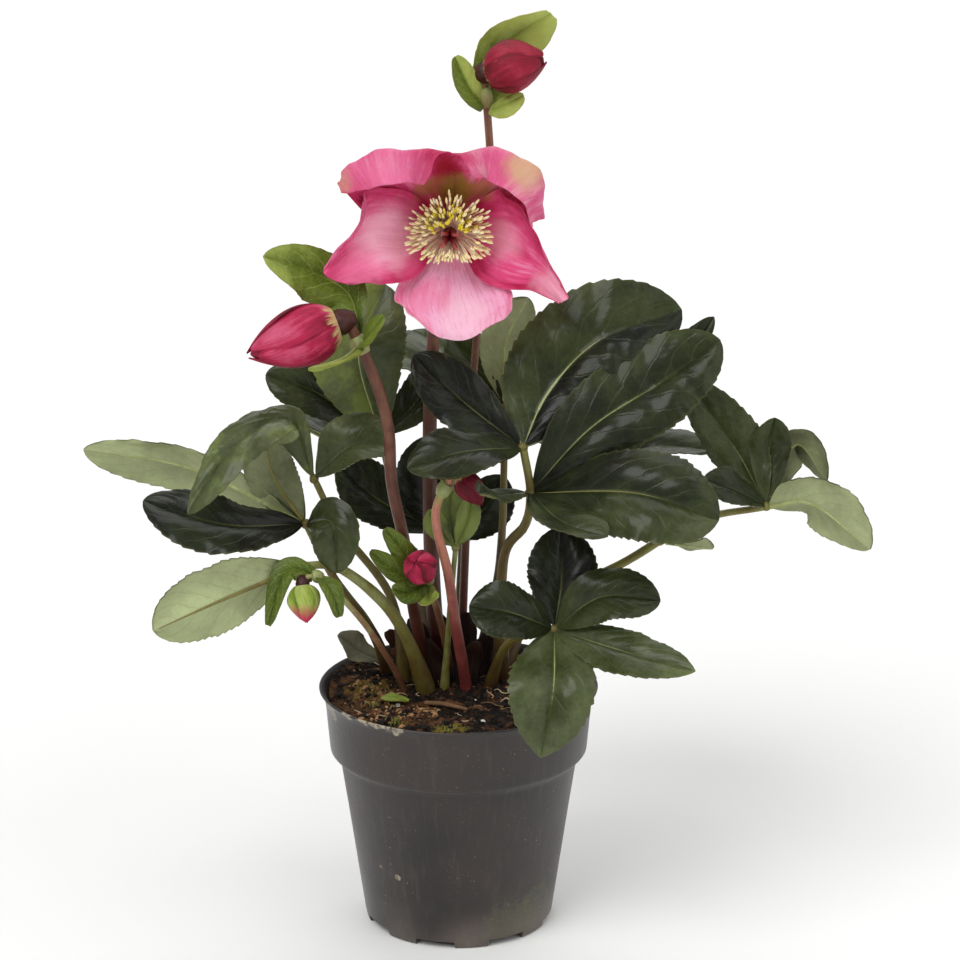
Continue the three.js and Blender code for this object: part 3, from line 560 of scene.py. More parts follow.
class Effects:
    """The shader node groups that several finishes share. Each is built once."""

    made: ClassVar[dict[str, Tree]] = {}
    origin: ClassVar[Point] = (0.0, 0.0, 0.0)

    @classmethod
    def use(cls, graph: Graph, name: str, **inputs: object) -> bpy.types.NodeOutputs:
        """Places an effect's group, built at its first use, in a graph and returns its outputs."""
        if name not in cls.made:
            cls.made[name] = getattr(cls, name)()
        return graph.group(cls.made[name], **inputs)

    @classmethod
    def veins(cls) -> Tree:
        """Builds the vein pattern of a leaf: midrib, side veins, the net between them and the rim.

        Returns:
            The group, with one mask for each.
        """
        inputs = {"Spread": cls.origin, "Pairs": 9.0, "Slant": 0.3, "Width": 0.07}
        ports = Ports("leaf_veins", inputs, ("Midrib", "Veins", "Net", "Rim"))
        graph, entry = ports.graph, ports.entry
        across, along, _ = graph.split(entry["Spread"])
        off = graph.off_middle(across)
        slanted = graph.times(graph.math("POWER", off, 1.25), entry["Slant"])
        wander = graph.times(graph.noise(entry["Spread"], 7.0, 2.0), 0.07)
        shifted = graph.math("ADD", graph.math("SUBTRACT", along, slanted), wander)
        nearness = graph.math("PINGPONG", graph.times(shifted, entry["Pairs"]), 0.5)
        line = graph.math("SUBTRACT", 1.0, graph.math("DIVIDE", nearness, entry["Width"]))
        veins = graph.times(graph.math("MAXIMUM", line, 0.0), graph.rise(off, 1.0, 0.72))
        edges = graph.cells(graph.stretch(entry["Spread"], (9.0, 30.0, 1.0)), 1.0, "DISTANCE_TO_EDGE")
        midrib = graph.times(graph.rise(off, 0.06, 0.015), graph.rise(along, 1.0, 0.1))
        graph.feed(ports.leave["Midrib"], midrib)
        graph.feed(ports.leave["Veins"], veins)
        graph.feed(ports.leave["Net"], graph.rise(edges, 0.12, 0.0))
        graph.feed(ports.leave["Rim"], graph.rise(off, 0.93, 1.0))
        return ports.tree

    @classmethod
    def mottle(cls) -> Tree:
        """Builds broad and fine variation of tone, 0 to 1.

        Returns:
            The group, with a broad and a fine value.
        """
        ports = Ports("mottle", {"Place": cls.origin, "Broad": 40.0, "Fine": 400.0}, ("Broad", "Fine"))
        for name, detail in (("Broad", 4.0), ("Fine", 3.0)):
            inputs = {"Vector": ports.entry["Place"], "Scale": ports.entry[name], "Detail": detail}
            spread = ports.graph.add("TexNoise", inputs).outputs[0]
            ports.graph.feed(ports.leave[name], ports.graph.rise(spread, 0.3, 0.7))
        return ports.tree

    @classmethod
    def stain(cls, name: str, grain: float, detail: float, solid: float) -> Tree:
        """Builds a round mask with a ragged edge, for stains, zones of colour and painted shade.

        Args:
            name: The group's name.
            grain: How fine the noise in its edge is.
            detail: How many finer layers that noise has.
            solid: The share of its radius within which the stain is whole.

        Returns:
            The group. Its mask is 1 inside the rounded area.
        """
        inputs = {"Place": cls.origin, "Centre": cls.origin, "Radius": 0.01, "Rag": 0.35}
        ports = Ports(name, inputs, ("Mask",))
        graph, entry = ports.graph, ports.entry
        gap = graph.add("VectorMath", {0: entry["Place"], 1: entry["Centre"]}, operation="DISTANCE")
        share = graph.math("DIVIDE", gap.outputs["Value"], entry["Radius"])
        rough = graph.plus(graph.noise(entry["Place"], grain, detail), 2.0, -1.0)
        graph.feed(ports.leave["Mask"], graph.rise(graph.plus(rough, entry["Rag"], share), 1.0, solid))
        return ports.tree

    @classmethod
    def patch(cls) -> Tree:
        """Builds a ragged patch, whole over most of its radius."""
        return cls.stain("patch", 260.0, 5.0, 0.6)

    @classmethod
    def haze(cls) -> Tree:
        """Builds a soft zone that fades out over nearly its whole radius."""
        return cls.stain("haze", 150.0, 4.0, 0.25)

    @classmethod
    def specks(cls) -> Tree:
        """Builds scattered small specks: 1 on a speck.

        Returns:
            The group, with one mask.
        """
        inputs = {"Place": cls.origin, "Scale": 300.0, "Size": 0.12, "Few": 0.6}
        ports = Ports("specks", inputs, ("Mask",))
        graph, entry = ports.graph, ports.entry
        cells = graph.add("TexVoronoi", {"Vector": entry["Place"], "Scale": entry["Scale"]})
        dot = graph.math("LESS_THAN", cells.outputs["Distance"], entry["Size"])
        pick = graph.add("SeparateColor", {0: cells.outputs["Color"]}).outputs[0]
        chosen = graph.math("GREATER_THAN", pick, entry["Few"])
        graph.feed(ports.leave["Mask"], graph.times(dot, chosen))
        return ports.tree


# ---------------------------------------------------------------- finishes


@dataclass(frozen=True)
class Finish:
    """A procedural finish. Its material is made at the first use."""

    name: str
    made: ClassVar[dict[str, bpy.types.Material]] = {}

    def material(self) -> bpy.types.Material:
        """Returns the finish's material.

        Returns:
            The material, which every use of the finish shares.
        """
        if self.name in self.made:
            return self.made[self.name]
        made = bpy.data.materials.new(self.name)
        self.made[self.name] = made
        made.use_nodes = True
        made.node_tree.nodes.clear()
        graph = Graph(made.node_tree)
        shader = graph.add("BsdfPrincipled")
        output = graph.add("OutputMaterial")
        graph.feed(output.inputs["Surface"], shader.outputs[0])
        self.fill(graph, shader)
        return made

    def fill(self, graph: Graph, shader: Node) -> None:
        """Builds the nodes that feed the shader."""
        raise NotImplementedError

    @staticmethod
    def put(graph: Graph, shader: Node, **values: object) -> None:
        """Feeds the shader's sockets, whose names are written with underscores."""
        for name, value in values.items():
            graph.feed(shader.inputs[name.replace("_", " ")], value)


@dataclass(frozen=True)
class LeafFinish(Finish):
    """One face of a leaf, with its veins."""

    stops: Stops = ()
    rib: Colour = (0.3, 0.35, 0.15, 1.0)
    rib_share: float = 0.6
    vein_share: float = 0.2
    net_share: float = 0.1
    rim: Colour = (0.2, 0.2, 0.08, 1.0)
    rim_share: float = 0.35
    roughness: tuple[float, float] = (0.38, 0.54)
    coat: float = 0.0
    gloss: float = 0.25
    sunk: float = -1.0
    relief: float = 0.35
    pairs: float = 7.0

    def fill(self, graph: Graph, shader: Node) -> None:
        """Builds the leaf's colour, gloss and relief.

        Args:
            graph: The material's graph.
            shader: Its shader node.
        """
        where, spread = graph.place(), graph.spread()
        veins = Effects.use(graph, "veins", Spread=spread, Pairs=self.pairs, Slant=SIDE_SLANT)
        mottle = Effects.use(graph, "mottle", Place=where, Broad=55.0, Fine=500.0)
        shade = graph.swing(mottle[1], 0.08, graph.swing(mottle[0], 0.3, graph.shade()))
        colour = graph.ramp(shade, self.stops)
        colour = graph.layer(colour, self.rib, veins["Net"], self.net_share)
        colour = graph.layer(colour, self.rib, veins["Veins"], self.vein_share)
        colour = graph.layer(colour, self.rim, veins["Rim"], self.rim_share)
        colour = graph.layer(colour, self.rib, veins["Midrib"], self.rib_share)
        low, high = self.roughness
        rough = graph.plus(mottle[0], high - low, low)
        relief = graph.times(graph.plus(veins["Net"], 0.12, veins["Veins"]), self.sunk)
        normal = graph.bump(graph.plus(mottle[1], 0.3, relief), self.relief, 0.3)
        self.put(graph, shader, Base_Color=colour, Roughness=rough, Normal=normal, Coat_Normal=normal)
        self.put(graph, shader, Coat_Weight=self.coat, Coat_Roughness=0.2, Specular_IOR_Level=self.gloss)


@dataclass(frozen=True)
class StalkFinish(Finish):
    """A stalk or stem, whose stored shade runs from its foot's colour to its top's."""

    stops: Stops = ()
    streak: Colour = (0.1, 0.02, 0.02, 1.0)
    streak_share: float = 0.35
    roughness: float = 0.42

    def fill(self, graph: Graph, shader: Node) -> None:
        """Builds fine lengthwise streaks and speckles over the colour.

        Args:
            graph: The material's graph.
            shader: Its shader node.
        """
        where = graph.place()
        mottle = Effects.use(graph, "mottle", Place=where, Broad=90.0, Fine=1500.0)
        colour = graph.ramp(graph.swing(mottle[0], 0.25, graph.shade()), self.stops)
        stretched = graph.stretch(where, (1500.0, 1500.0, 160.0))
        lines = graph.rise(graph.noise(stretched, 1.0, 3.0), 0.52, 0.68)
        colour = graph.layer(colour, self.streak, lines, self.streak_share)
        normal = graph.bump(graph.plus(lines, -0.6, mottle[1]), 0.4, 0.2)
        self.put(graph, shader, Base_Color=colour, Roughness=self.roughness)
        self.put(graph, shader, Normal=normal, Specular_IOR_Level=0.4)


@dataclass(frozen=True)
class PetalFinish(Finish):
    """One face of a sepal: deeper in its streaks and along its edges, with veins and soft zones of colour and
    painted shade.
    """

    deep: Colour = (0.6, 0.1, 0.2, 1.0)
    rose: Colour = (0.7, 0.2, 0.35, 1.0)
    pale: Colour = (0.8, 0.33, 0.46, 1.0)
    vein: Colour = (0.45, 0.05, 0.12, 1.0)
    vein_share: float = 0.4
    edge: float = 0.3
    zones: ColourZones = ()
    lines: float = 22.0
    streaks: float = 0.3
    base: Colour = (0.5, 0.5, 0.2, 1.0)
    base_end: float = 0.0
    tip: Colour = (0.6, 0.1, 0.2, 1.0)
    tip_share: float = 0.0

    def fill(self, graph: Graph, shader: Node) -> None:
        """Builds the sepal's colour from its UV map, its stored shade and noise.

        Args:
            graph: The material's graph.
            shader: Its shader node.
        """
        where, spread = graph.place(), graph.spread()
        mottle = Effects.use(graph, "mottle", Place=where, Broad=75.0, Fine=800.0)
        across, along, _ = graph.split(spread)
        streak = graph.rise(graph.noise(graph.stretch(spread, (16.0, 2.6, 1.0)), 1.0, 4.0), 0.32, 0.68)
        pale = graph.swing(streak, self.streaks, graph.swing(mottle[0], 0.35, graph.shade()))
        pale = graph.plus(graph.rise(graph.off_middle(across), 0.35, 1.0), -self.edge, pale)
        colour = graph.ramp(pale, ((0.0, self.deep), (0.45, self.rose), (1.0, self.pale)))
        phase = graph.plus(across, self.lines, graph.times(graph.noise(where, 120.0, 3.0), 2.2))
        line = graph.rise(graph.math("PINGPONG", phase, 0.5), 0.16, 0.0)
        broken = graph.rise(graph.noise(where, 260.0, 2.0), 0.4, 0.6)
        colour = graph.layer(colour, self.vein, graph.times(line, broken), self.vein_share)
        # The soft zones: the sepal's own colours, and painted shade in the hollow under the upper sepals'
        # rims.
        for centre, radius, stain, share in self.zones:
            zone = Effects.use(graph, "haze", Place=where, Centre=centre, Radius=radius)
            colour = graph.layer(colour, stain, zone[0], share)
        ragged = graph.swing(streak, 0.12, along)
        colour = graph.mix(graph.rise(ragged, self.base_end + 0.001, self.base_end * 0.3), colour, self.base)
        colour = graph.mix(graph.rise(ragged, 0.5, 0.95, self.tip_share), colour, self.tip)
        relief = graph.plus(streak, 1.4, graph.plus(line, -0.4, mottle[1]))
        self.put(graph, shader, Base_Color=colour, Roughness=0.55, Sheen_Weight=0.03, Sheen_Roughness=0.4)
        self.put(graph, shader, Normal=graph.bump(relief, 0.4, 0.3), Specular_IOR_Level=0.25)
        self.put(graph, shader, Subsurface_Weight=0.12, Subsurface_Scale=0.002)
        self.put(graph, shader, Subsurface_Radius=(1.0, 0.4, 0.4))


@dataclass(frozen=True)
class PartFinish(Finish):
    """A small flower part or crumb, whose stored shade picks its colour."""

    stops: Stops = ()
    roughness: float = 0.6
    grain: float = 1800.0
    depth: float = 0.15

    def fill(self, graph: Graph, shader: Node) -> None:
        """Builds the colour and a fine grain.

        Args:
            graph: The material's graph.
            shader: Its shader node.
        """
        where = graph.place()
        mottle = Effects.use(graph, "mottle", Place=where, Broad=self.grain / 6, Fine=self.grain)
        colour = graph.ramp(graph.swing(mottle[0], 0.4, graph.shade()), self.stops)
        self.put(graph, shader, Base_Color=colour, Roughness=self.roughness)
        self.put(graph, shader, Normal=graph.bump(mottle[1], 0.6, self.depth))


@dataclass(frozen=True)
class SoilFinish(Finish):
    """Moist potting soil: dark, with tan bits, traces of moss and painted shade under the plant."""

    dark: Colour = tone(9, 6, 5)
    mid: Colour = tone(33, 19, 13)
    tan: Colour = tone(102, 68, 40)
    moss: Colour = tone(134, 118, 46)

    def fill(self, graph: Graph, shader: Node) -> None:
        """Builds the soil's colours and its crumbly relief.

        Args:
            graph: The material's graph.
            shader: Its shader node.
        """
        where = graph.place()
        mottle = Effects.use(graph, "mottle", Place=where, Broad=150.0, Fine=1100.0)
        colour = graph.ramp(mottle[0], ((0.15, self.dark), (0.6, self.mid), (1.0, self.tan)))
        bits = graph.rise(graph.cells(where, 620.0), 0.42, 0.2)
        colour = graph.layer(colour, self.tan, bits, mottle[1])
        patches = (
            ((-0.038, -0.006, 0.107), 0.012, self.moss, 0.7),
            ((-0.003, -0.047, 0.102), 0.009, self.moss, 0.7),
            ((-0.036, -0.016, 0.106), 0.02, self.tan, 0.5),
            ((-0.014, -0.034, 0.103), 0.01, self.tan, 0.4),
            # Painted shade: darker soil at the right front and round the crown, under the leaves.
            ((0.026, -0.03, 0.102), 0.024, self.dark, 0.7),
            ((0.0, 0.01, 0.106), 0.026, self.dark, 0.7),
        )
        for centre, radius, stain, share in patches:
            patch = Effects.use(graph, "patch", Place=where, Centre=centre, Radius=radius, Rag=1.2)
            colour = graph.layer(colour, stain, patch[0], share)
        relief = graph.math("ADD", mottle[0], graph.cells(where, 700.0))
        self.put(graph, shader, Base_Color=colour, Roughness=0.9, Specular_IOR_Level=0.25)
        self.put(graph, shader, Normal=graph.bump(relief, 0.9, 0.9))


@dataclass(frozen=True)
class PotFinish(Finish):
    """Thin dark nursery-pot plastic, handled and dusty, with dried marks."""

    dark: Colour = tone(26, 22, 21)
    worn: Colour = tone(60, 49, 46)
    dust: Colour = tone(142, 130, 118)
    crust: Colour = tone(190, 176, 150)
    algae: Colour = tone(84, 88, 56)

    def fill(self, graph: Graph, shader: Node) -> None:
        """Builds the plastic's tone, its dust, specks, stains and fine drag lines.

        Args:
            graph: The material's graph.
            shader: Its shader node.
        """
        where = graph.place()
        mottle = Effects.use(graph, "mottle", Place=where, Broad=22.0, Fine=600.0)
        colour = graph.layer(self.dark, self.worn, mottle[0], 0.55)
        stretched = graph.stretch(where, (420.0, 420.0, 18.0))
        drag = graph.rise(graph.noise(stretched, 1.0, 3.0), 0.5, 0.75)
        colour = graph.layer(colour, self.dust, drag, 0.05)
        foot = graph.times(graph.rise(graph.split(where)[2], 0.022, 0.0), mottle[0])
        colour = graph.layer(colour, self.dust, foot, 0.4)
        clusters = graph.rise(graph.noise(where, 45.0, 3.0), 0.46, 0.62)
        for scale, size, few, share in ((420.0, 0.12, 0.84, 0.4), (900.0, 0.17, 0.74, 0.2)):
            specks = Effects.use(graph, "specks", Place=where, Scale=scale, Size=size, Few=few)
            colour = graph.layer(colour, self.crust, graph.times(specks[0], clusters), share)
        marks = (
            ((-0.04, -0.045, 0.1055), 0.0036, self.crust, 0.85),
            ((-0.0355, -0.0485, 0.1055), 0.0034, self.crust, 0.85),
            ((-0.03, -0.052, 0.1055), 0.0036, self.crust, 0.85),
            ((-0.025, -0.0545, 0.105), 0.0036, self.crust, 0.8),
            ((-0.047, -0.0375, 0.1055), 0.0034, self.crust, 0.75),
            ((-0.055, -0.0225, 0.101), 0.006, self.crust, 0.4),
            ((-0.0255, -0.037, 0.031), 0.0018, self.crust, 0.6),
            ((-0.033, -0.031, 0.034), 0.0014, self.crust, 0.4),
            ((0.022, -0.036, 0.01), 0.014, self.algae, 0.4),
            ((0.034, -0.029, 0.016), 0.012, self.algae, 0.4),
        )
        for centre, radius, stain, share in marks:
            patch = Effects.use(graph, "patch", Place=where, Centre=centre, Radius=radius, Rag=1.1)
            worn_off = graph.plus(mottle[1], 0.7 * share, 0.3 * share)
            colour = graph.layer(colour, stain, patch[0], worn_off)
        rough = graph.plus(mottle[0], 0.16, 0.36)
        relief = graph.plus(drag, 0.4, mottle[1])
        self.put(graph, shader, Base_Color=colour, Roughness=rough, Sheen_Weight=0.1, Sheen_Roughness=0.45)
        self.put(graph, shader, Normal=graph.bump(relief, 0.25, 0.12), Specular_IOR_Level=0.5)


@dataclass(frozen=True)
class FloorFinish(Finish):
    """A plain pale floor."""

    colour: Colour = tone(244, 244, 243)
    lighter: Colour = tone(249, 249, 248)

    def fill(self, graph: Graph, shader: Node) -> None:
        """Builds a faint tone variation."""
        colour = graph.mix(graph.noise(graph.place(), 3.0, 2.0), self.colour, self.lighter)
        self.put(graph, shader, Base_Color=colour, Roughness=0.85)


LEAF_FACE = LeafFinish(
    "leaf_face",
    stops=(
        (0.0, tone(9, 12, 4)), (0.3, tone(31, 38, 14)), (0.55, tone(54, 62, 29)), (0.78, tone(80, 88, 55)),
        (1.0, tone(114, 128, 60)),
    ),
    rib=tone(120, 130, 86), rib_share=0.38, vein_share=0.07, net_share=0.02, rim=tone(104, 102, 58),
    rim_share=0.25, coat=0.28, gloss=0.16, relief=0.24,
)
LEAF_BACK = LeafFinish(
    "leaf_back", stops=((0.0, tone(84, 88, 60)), (0.5, tone(138, 144, 106)), (1.0, tone(174, 184, 136))),
    rib=tone(132, 134, 84), rib_share=0.7, vein_share=0.3, net_share=0.1, rim=tone(96, 92, 56),
    roughness=(0.55, 0.7), gloss=0.3, sunk=1.0,
)
BRACT_FACE = LeafFinish(
    "bract_face", stops=((0.0, tone(54, 72, 16)), (0.5, tone(98, 116, 32)), (1.0, tone(178, 192, 96))),
    rib=tone(176, 188, 104), rib_share=0.4, vein_share=0.35, net_share=0.12, rim=tone(140, 84, 60),
    rim_share=0.3, roughness=(0.4, 0.5), pairs=6.0,
)
WITHERED = LeafFinish(
    "withered_leaf",
    stops=((0.0, tone(92, 90, 74)), (0.5, tone(132, 130, 108)), (1.0, tone(168, 164, 138))),
    rib=tone(90, 78, 54), rim=tone(104, 86, 58), roughness=(0.7, 0.85), sunk=1.0,
)
SHEATH = LeafFinish(
    "sheath_skin", stops=((0.0, tone(18, 10, 8)), (0.5, tone(46, 24, 17)), (1.0, tone(104, 72, 46))),
    rib=tone(84, 48, 34), rim=tone(128, 92, 62), roughness=(0.6, 0.8),
)
PETIOLE = StalkFinish(
    "petiole_skin",
    stops=(
        (0.0, tone(56, 30, 18)), (0.35, tone(96, 80, 36)), (0.7, tone(120, 118, 56)),
        (1.0, tone(166, 176, 118)),
    ),
)
STEM = StalkFinish(
    "stem_skin",
    stops=(
        (0.0, tone(54, 16, 14)), (0.4, tone(90, 50, 35)), (0.75, tone(132, 94, 68)),
        (1.0, tone(150, 160, 100)),
    ),
    streak=tone(104, 34, 36), roughness=0.38,
)
RED_STEM = StalkFinish(
    "red_stem_skin",
    stops=(
        (0.0, tone(92, 32, 34)), (0.4, tone(142, 70, 62)), (0.75, tone(184, 120, 98)),
        (1.0, tone(150, 156, 84)),
    ),
    streak=tone(120, 40, 42), roughness=0.38,
)
PALE_PINK = tone(255, 192, 212)
ROSE_PINK = tone(240, 132, 172)
CREAM = tone(206, 172, 128)
SEPAL_FACE = PetalFinish(
    "sepal_face", deep=tone(176, 24, 74), rose=tone(222, 72, 128), pale=tone(242, 172, 204),
    vein=tone(204, 58, 108),
    zones=(
        ((-0.028, -0.017, 0.303), 0.019, PALE_PINK, 0.7), ((-0.04, -0.022, 0.289), 0.014, ROSE_PINK, 0.5),
        ((0.041, -0.027, 0.284), 0.014, PALE_PINK, 0.6), ((0.0186, -0.015, 0.302), 0.012, PALE_PINK, 0.45),
        ((0.003, -0.021, 0.269), 0.018, tone(255, 222, 228), 0.36),
        ((-0.015, -0.019, 0.278), 0.012, ROSE_PINK, 0.6),
        ((-0.0004, -0.012, 0.3215), 0.0125, tone(148, 124, 42), 0.95),
        ((-0.012, -0.014, 0.3235), 0.008, tone(170, 116, 70), 0.8),
        ((0.011, -0.014, 0.3235), 0.008, tone(170, 116, 70), 0.8),
        # Painted shade: deep crimson in the hollow under the rolled rims of the upper sepals.
        ((-0.0032, -0.018, 0.3335), 0.0085, tone(158, 10, 38), 0.95),
    ),
)
SEPAL_BACK = PetalFinish(
    "sepal_back", deep=tone(196, 58, 100), rose=tone(216, 92, 138), pale=tone(234, 166, 180),
    vein=tone(176, 50, 100), edge=0.1,
    zones=(
        ((0.028, -0.041, 0.3355), 0.0125, CREAM, 0.8), ((-0.044, -0.038, 0.33), 0.008, CREAM, 0.4),
        ((-0.026, -0.042, 0.333), 0.014, ROSE_PINK, 0.45),
        # Painted shade: deep crimson on the rims' middle, where they dip over that hollow.
        ((-0.004, -0.03, 0.336), 0.014, tone(190, 36, 82), 0.6),
    ),
)
BUD_FACE = PetalFinish(
    "bud_face", deep=tone(96, 6, 26), rose=tone(180, 30, 74), pale=tone(226, 112, 146),
    vein=tone(150, 20, 56), vein_share=0.25, lines=9.0, streaks=0.25, base=tone(204, 172, 120),
    base_end=0.1,
)
BUD_CRIMSON = PetalFinish(
    "bud_crimson", deep=tone(92, 6, 22), rose=tone(150, 22, 50), pale=tone(200, 80, 100),
    vein=tone(110, 10, 32), vein_share=0.2, lines=7.0, streaks=0.2,
)
BUD_GREEN = PetalFinish(
    "bud_green", deep=tone(92, 118, 30), rose=tone(150, 168, 70), pale=tone(196, 204, 130),
    vein=tone(120, 140, 50), lines=9.0, tip=tone(190, 40, 80), tip_share=1.0,
)
ANTHER = PartFinish(
    "anther", stops=((0.0, tone(240, 222, 60)), (0.5, tone(255, 240, 184)), (1.0, tone(255, 248, 220))),
)
FILAMENT = PartFinish(
    "filament", stops=((0.0, tone(255, 178, 164)), (0.4, tone(255, 220, 200)), (1.0, tone(255, 242, 214))),
    roughness=0.5,
)
NECTARY = PartFinish(
    "nectary_cup", stops=((0.0, tone(138, 148, 40)), (0.6, tone(202, 198, 66)), (1.0, tone(236, 222, 110))),
    roughness=0.35,
)
CARPEL = PartFinish(
    "carpel_red", stops=((0.0, tone(58, 8, 18)), (0.6, tone(130, 20, 40)), (1.0, tone(198, 88, 88))),
    roughness=0.4,
)
CRUMB = PartFinish(
    "crumb",
    stops=(
        (0.0, tone(15, 9, 7)), (0.4, tone(46, 28, 18)), (0.75, tone(122, 80, 50)),
        (1.0, tone(188, 146, 98)),
    ),
    roughness=0.92, depth=0.5,
)
PERLITE = PartFinish(
    "perlite", stops=((0.0, tone(196, 192, 180)), (1.0, tone(240, 238, 230))), roughness=0.85,
)
MOSS = PartFinish(
    "moss", stops=((0.0, tone(64, 66, 22)), (0.5, tone(110, 108, 42)), (1.0, tone(158, 150, 78))),
)
FIBRE = PartFinish(
    "fibre", stops=((0.0, tone(96, 66, 42)), (0.5, tone(156, 122, 84)), (1.0, tone(214, 196, 160))),
)
TWIG = PartFinish(
    "twig_bark", stops=((0.0, tone(82, 54, 36)), (1.0, tone(142, 106, 72))), roughness=0.85, depth=0.4,
)


# ---------------------------------------------------------------- blades


class Outline(Enum):
    """The outlines that a blade can have."""

    LEAFLET = "leaflet"
    BRACT = "bract"

    def width(self, place: float, taper: float) -> float:
        """Returns the share of its greatest width that a blade has at a place along it.

        Args:
            place: The place, from 0 at the foot to 1 at the tip.
            taper: How early a leaflet narrows towards its tip.

        Returns:
            The share, from 0 to 1.
        """
        if self is Outline.BRACT:
            return math.sqrt(max(math.sin(math.pi * (0.1 + 0.88 * place)), 0.0))
        whole = 0.8 + taper
        greatest = (0.8 / whole) ** 0.8 * (taper / whole) ** taper
        return place**0.8 * max(1 - place, 0.0) ** taper / greatest


@dataclass(frozen=True)
class Blade:
    """A leaflet or a bract: a rib from foot to tip with a half blade at each side. Millimetres.

    A leaflet's rib starts past the joint that it grows from, which its leaf puts before it.
    """

    rib: tuple[Point, ...]
    up: Point
    left: float
    right: float
    shade: float = 0.35
    # The right half's own shade: two tones of a blade, and on some leaflets painted shade on the half turned
    # from the light.
    far: float | None = None
    fold: float = 0.18
    lean: float = 0.0
    dome: float = 0.1
    wave: float = 1.2
    root: float = 1.4
    teeth: int = 15
    bite: float = 0.055
    quilt: float = 0.42
    pucker: float = 0.7
    outline: Outline = Outline.LEAFLET
    thickness: float = 0.55
    pairs: float = 7.0
    # Shade gained from foot to tip: paler tips, and on some leaflets painted shade at a covered foot.
    rise: float = 0.06
    taper: float = 0.6
    rib_shade: float | None = None
    joint: int = 0
    least_foot: float = 0.9
    least_tip: float = 0.25

    def rows(self) -> int:
        """Returns how many faces the blade has along its rib."""
        return self.teeth * 5

    def tone_at(self, across: float, along: float) -> float:
        """Returns the shade at a place: the right half may have its own, and it rises towards the tip."""
        far = self.shade if self.far is None else self.far
        return self.shade + (far - self.shade) * smooth(0.47, 0.56, across) + self.rise * (along - 0.5)

    def frames(self) -> list[tuple[Vector, Vector, Vector, float]]:
        """Returns the rib's points with the sideways and upward directions and the width's share.

        Returns:
            One (point, sideways, upward, share) for each row of corners.
        """
        path = SmoothPath(self.rib)
        start = self.root / path.measure()
        made = []
        for index in range(self.rows() + 1):
            place = index / self.rows()
            reach = start + (1 - start) * place
            heading = path.tangent(reach)
            sideways = heading.cross(Vector(self.up)).normalized()
            width = self.outline.width(place, self.taper)
            made.append((path.at(reach), sideways, sideways.cross(heading), width))
        return made

    def build(self, name: str, face: Finish, back: Finish, stalk: Finish) -> list[Piece]:
        """Makes the blade and the raised rib under it.

        Args:
            name: The start of the pieces' names.
            face: The upper face's finish.
            back: The underside's finish.
            stalk: The rib's finish.

        Returns:
            The blade and the rib.
        """
        frames = self.frames()
        rows = self.rows()

        def place(across: float, along: float) -> Vector:
            """Lays one corner of the blade."""
            centre, sideways, normal, share = frames[round(along * rows)]
            side = 2 * across - 1
            off = abs(side)
            tooth = (along * self.teeth) % 1.0 * smooth(0.12, 0.3, along)
            cut = 1 + self.bite * (tooth - 0.4) * smooth(0.7, 1.0, off)
            uneven = 1 + 0.05 * noise.noise(centre * 0.06 + Vector((9 * side, 0, 0)))
            least = self.least_foot if along < 0.5 else self.least_tip
            half = max((self.left if side < 0 else self.right) * share * uneven, least)
            ripple = self.wave * math.sin(2 * math.pi * (1.5 * along + 0.2 * side)) * share * off * off
            curve = (self.fold + self.lean * side) * off + self.dome * math.sin(math.pi * off)
            return centre + sideways * side * half * cut + normal * (half * curve + ripple)

        def relief(across: float, along: float) -> float:
            """Raises the blade between its side veins and ruffles its edge."""
            centre, _, _, share = frames[round(along * rows)]
            off = abs(2 * across - 1)
            phase = (along - SIDE_SLANT * off**1.25 + 0.035) * self.pairs
            domes = (0.5 - 0.5 * math.cos(2 * math.pi * phase)) * math.sin(math.pi * min(off * 1.05, 1.0))
            groove = -0.45 * math.exp(-((off * 9) ** 2))
            spot = centre * 0.11 + Vector((2.6 * across, 3, 0))
            bulge = noise.noise(spot) * self.pucker * min(3 * off, 1.0)
            ruffle = noise.noise(centre * 0.16 + Vector((7 * across, 3, 0))) * off**3
            uneven = 0.6 + 0.8 * noise.noise(spot * 1.7)
            return (self.quilt * domes * uneven + groove + bulge + 1.2 * ruffle) * min(share, 1.0)

        columns = 18 if self.left + self.right > 18 else 12
        blade = sheet(f"{name}_blade", columns, rows, place, relief)
        tint_spread(blade, self.tone_at)
        paint(blade, face, back)
        thicken(blade, self.thickness)
        steps = rows // 3
        girth = 0.55 + 0.02 * (self.left + self.right)

        def rib_place(across: float, along: float) -> Vector:
            """Lays one corner of the rib, a little under the blade."""
            centre, sideways, normal, _ = frames[round(min(max(along * 1.04 - 0.02, 0), 1) * rows * 0.97)]
            radius = 0.0 if along in (0.0, 1.0) else girth * (1 - 0.85 * along)
            angle = 2 * math.pi * across
            sunk = centre - normal * (0.45 + 0.35 * radius)
            return sunk + (sideways * math.cos(angle) + normal * math.sin(angle)) * radius

        rib = close_up(sheet(f"{name}_rib", 6, steps, rib_place))
        tint(rib, min(self.shade + 0.45, 0.95) if self.rib_shade is None else self.rib_shade)
        return [blade, paint(rib, stalk)]


# ---------------------------------------------------------------- leaves


def standing(foot: tuple[float, float], *points: Point) -> tuple[Point, ...]:
    """Returns a stalk's points: upright in the soil at its foot, and then through the given points."""
    return ((*foot, STEM_FOOT), (*foot, SOIL_TOP), *points)


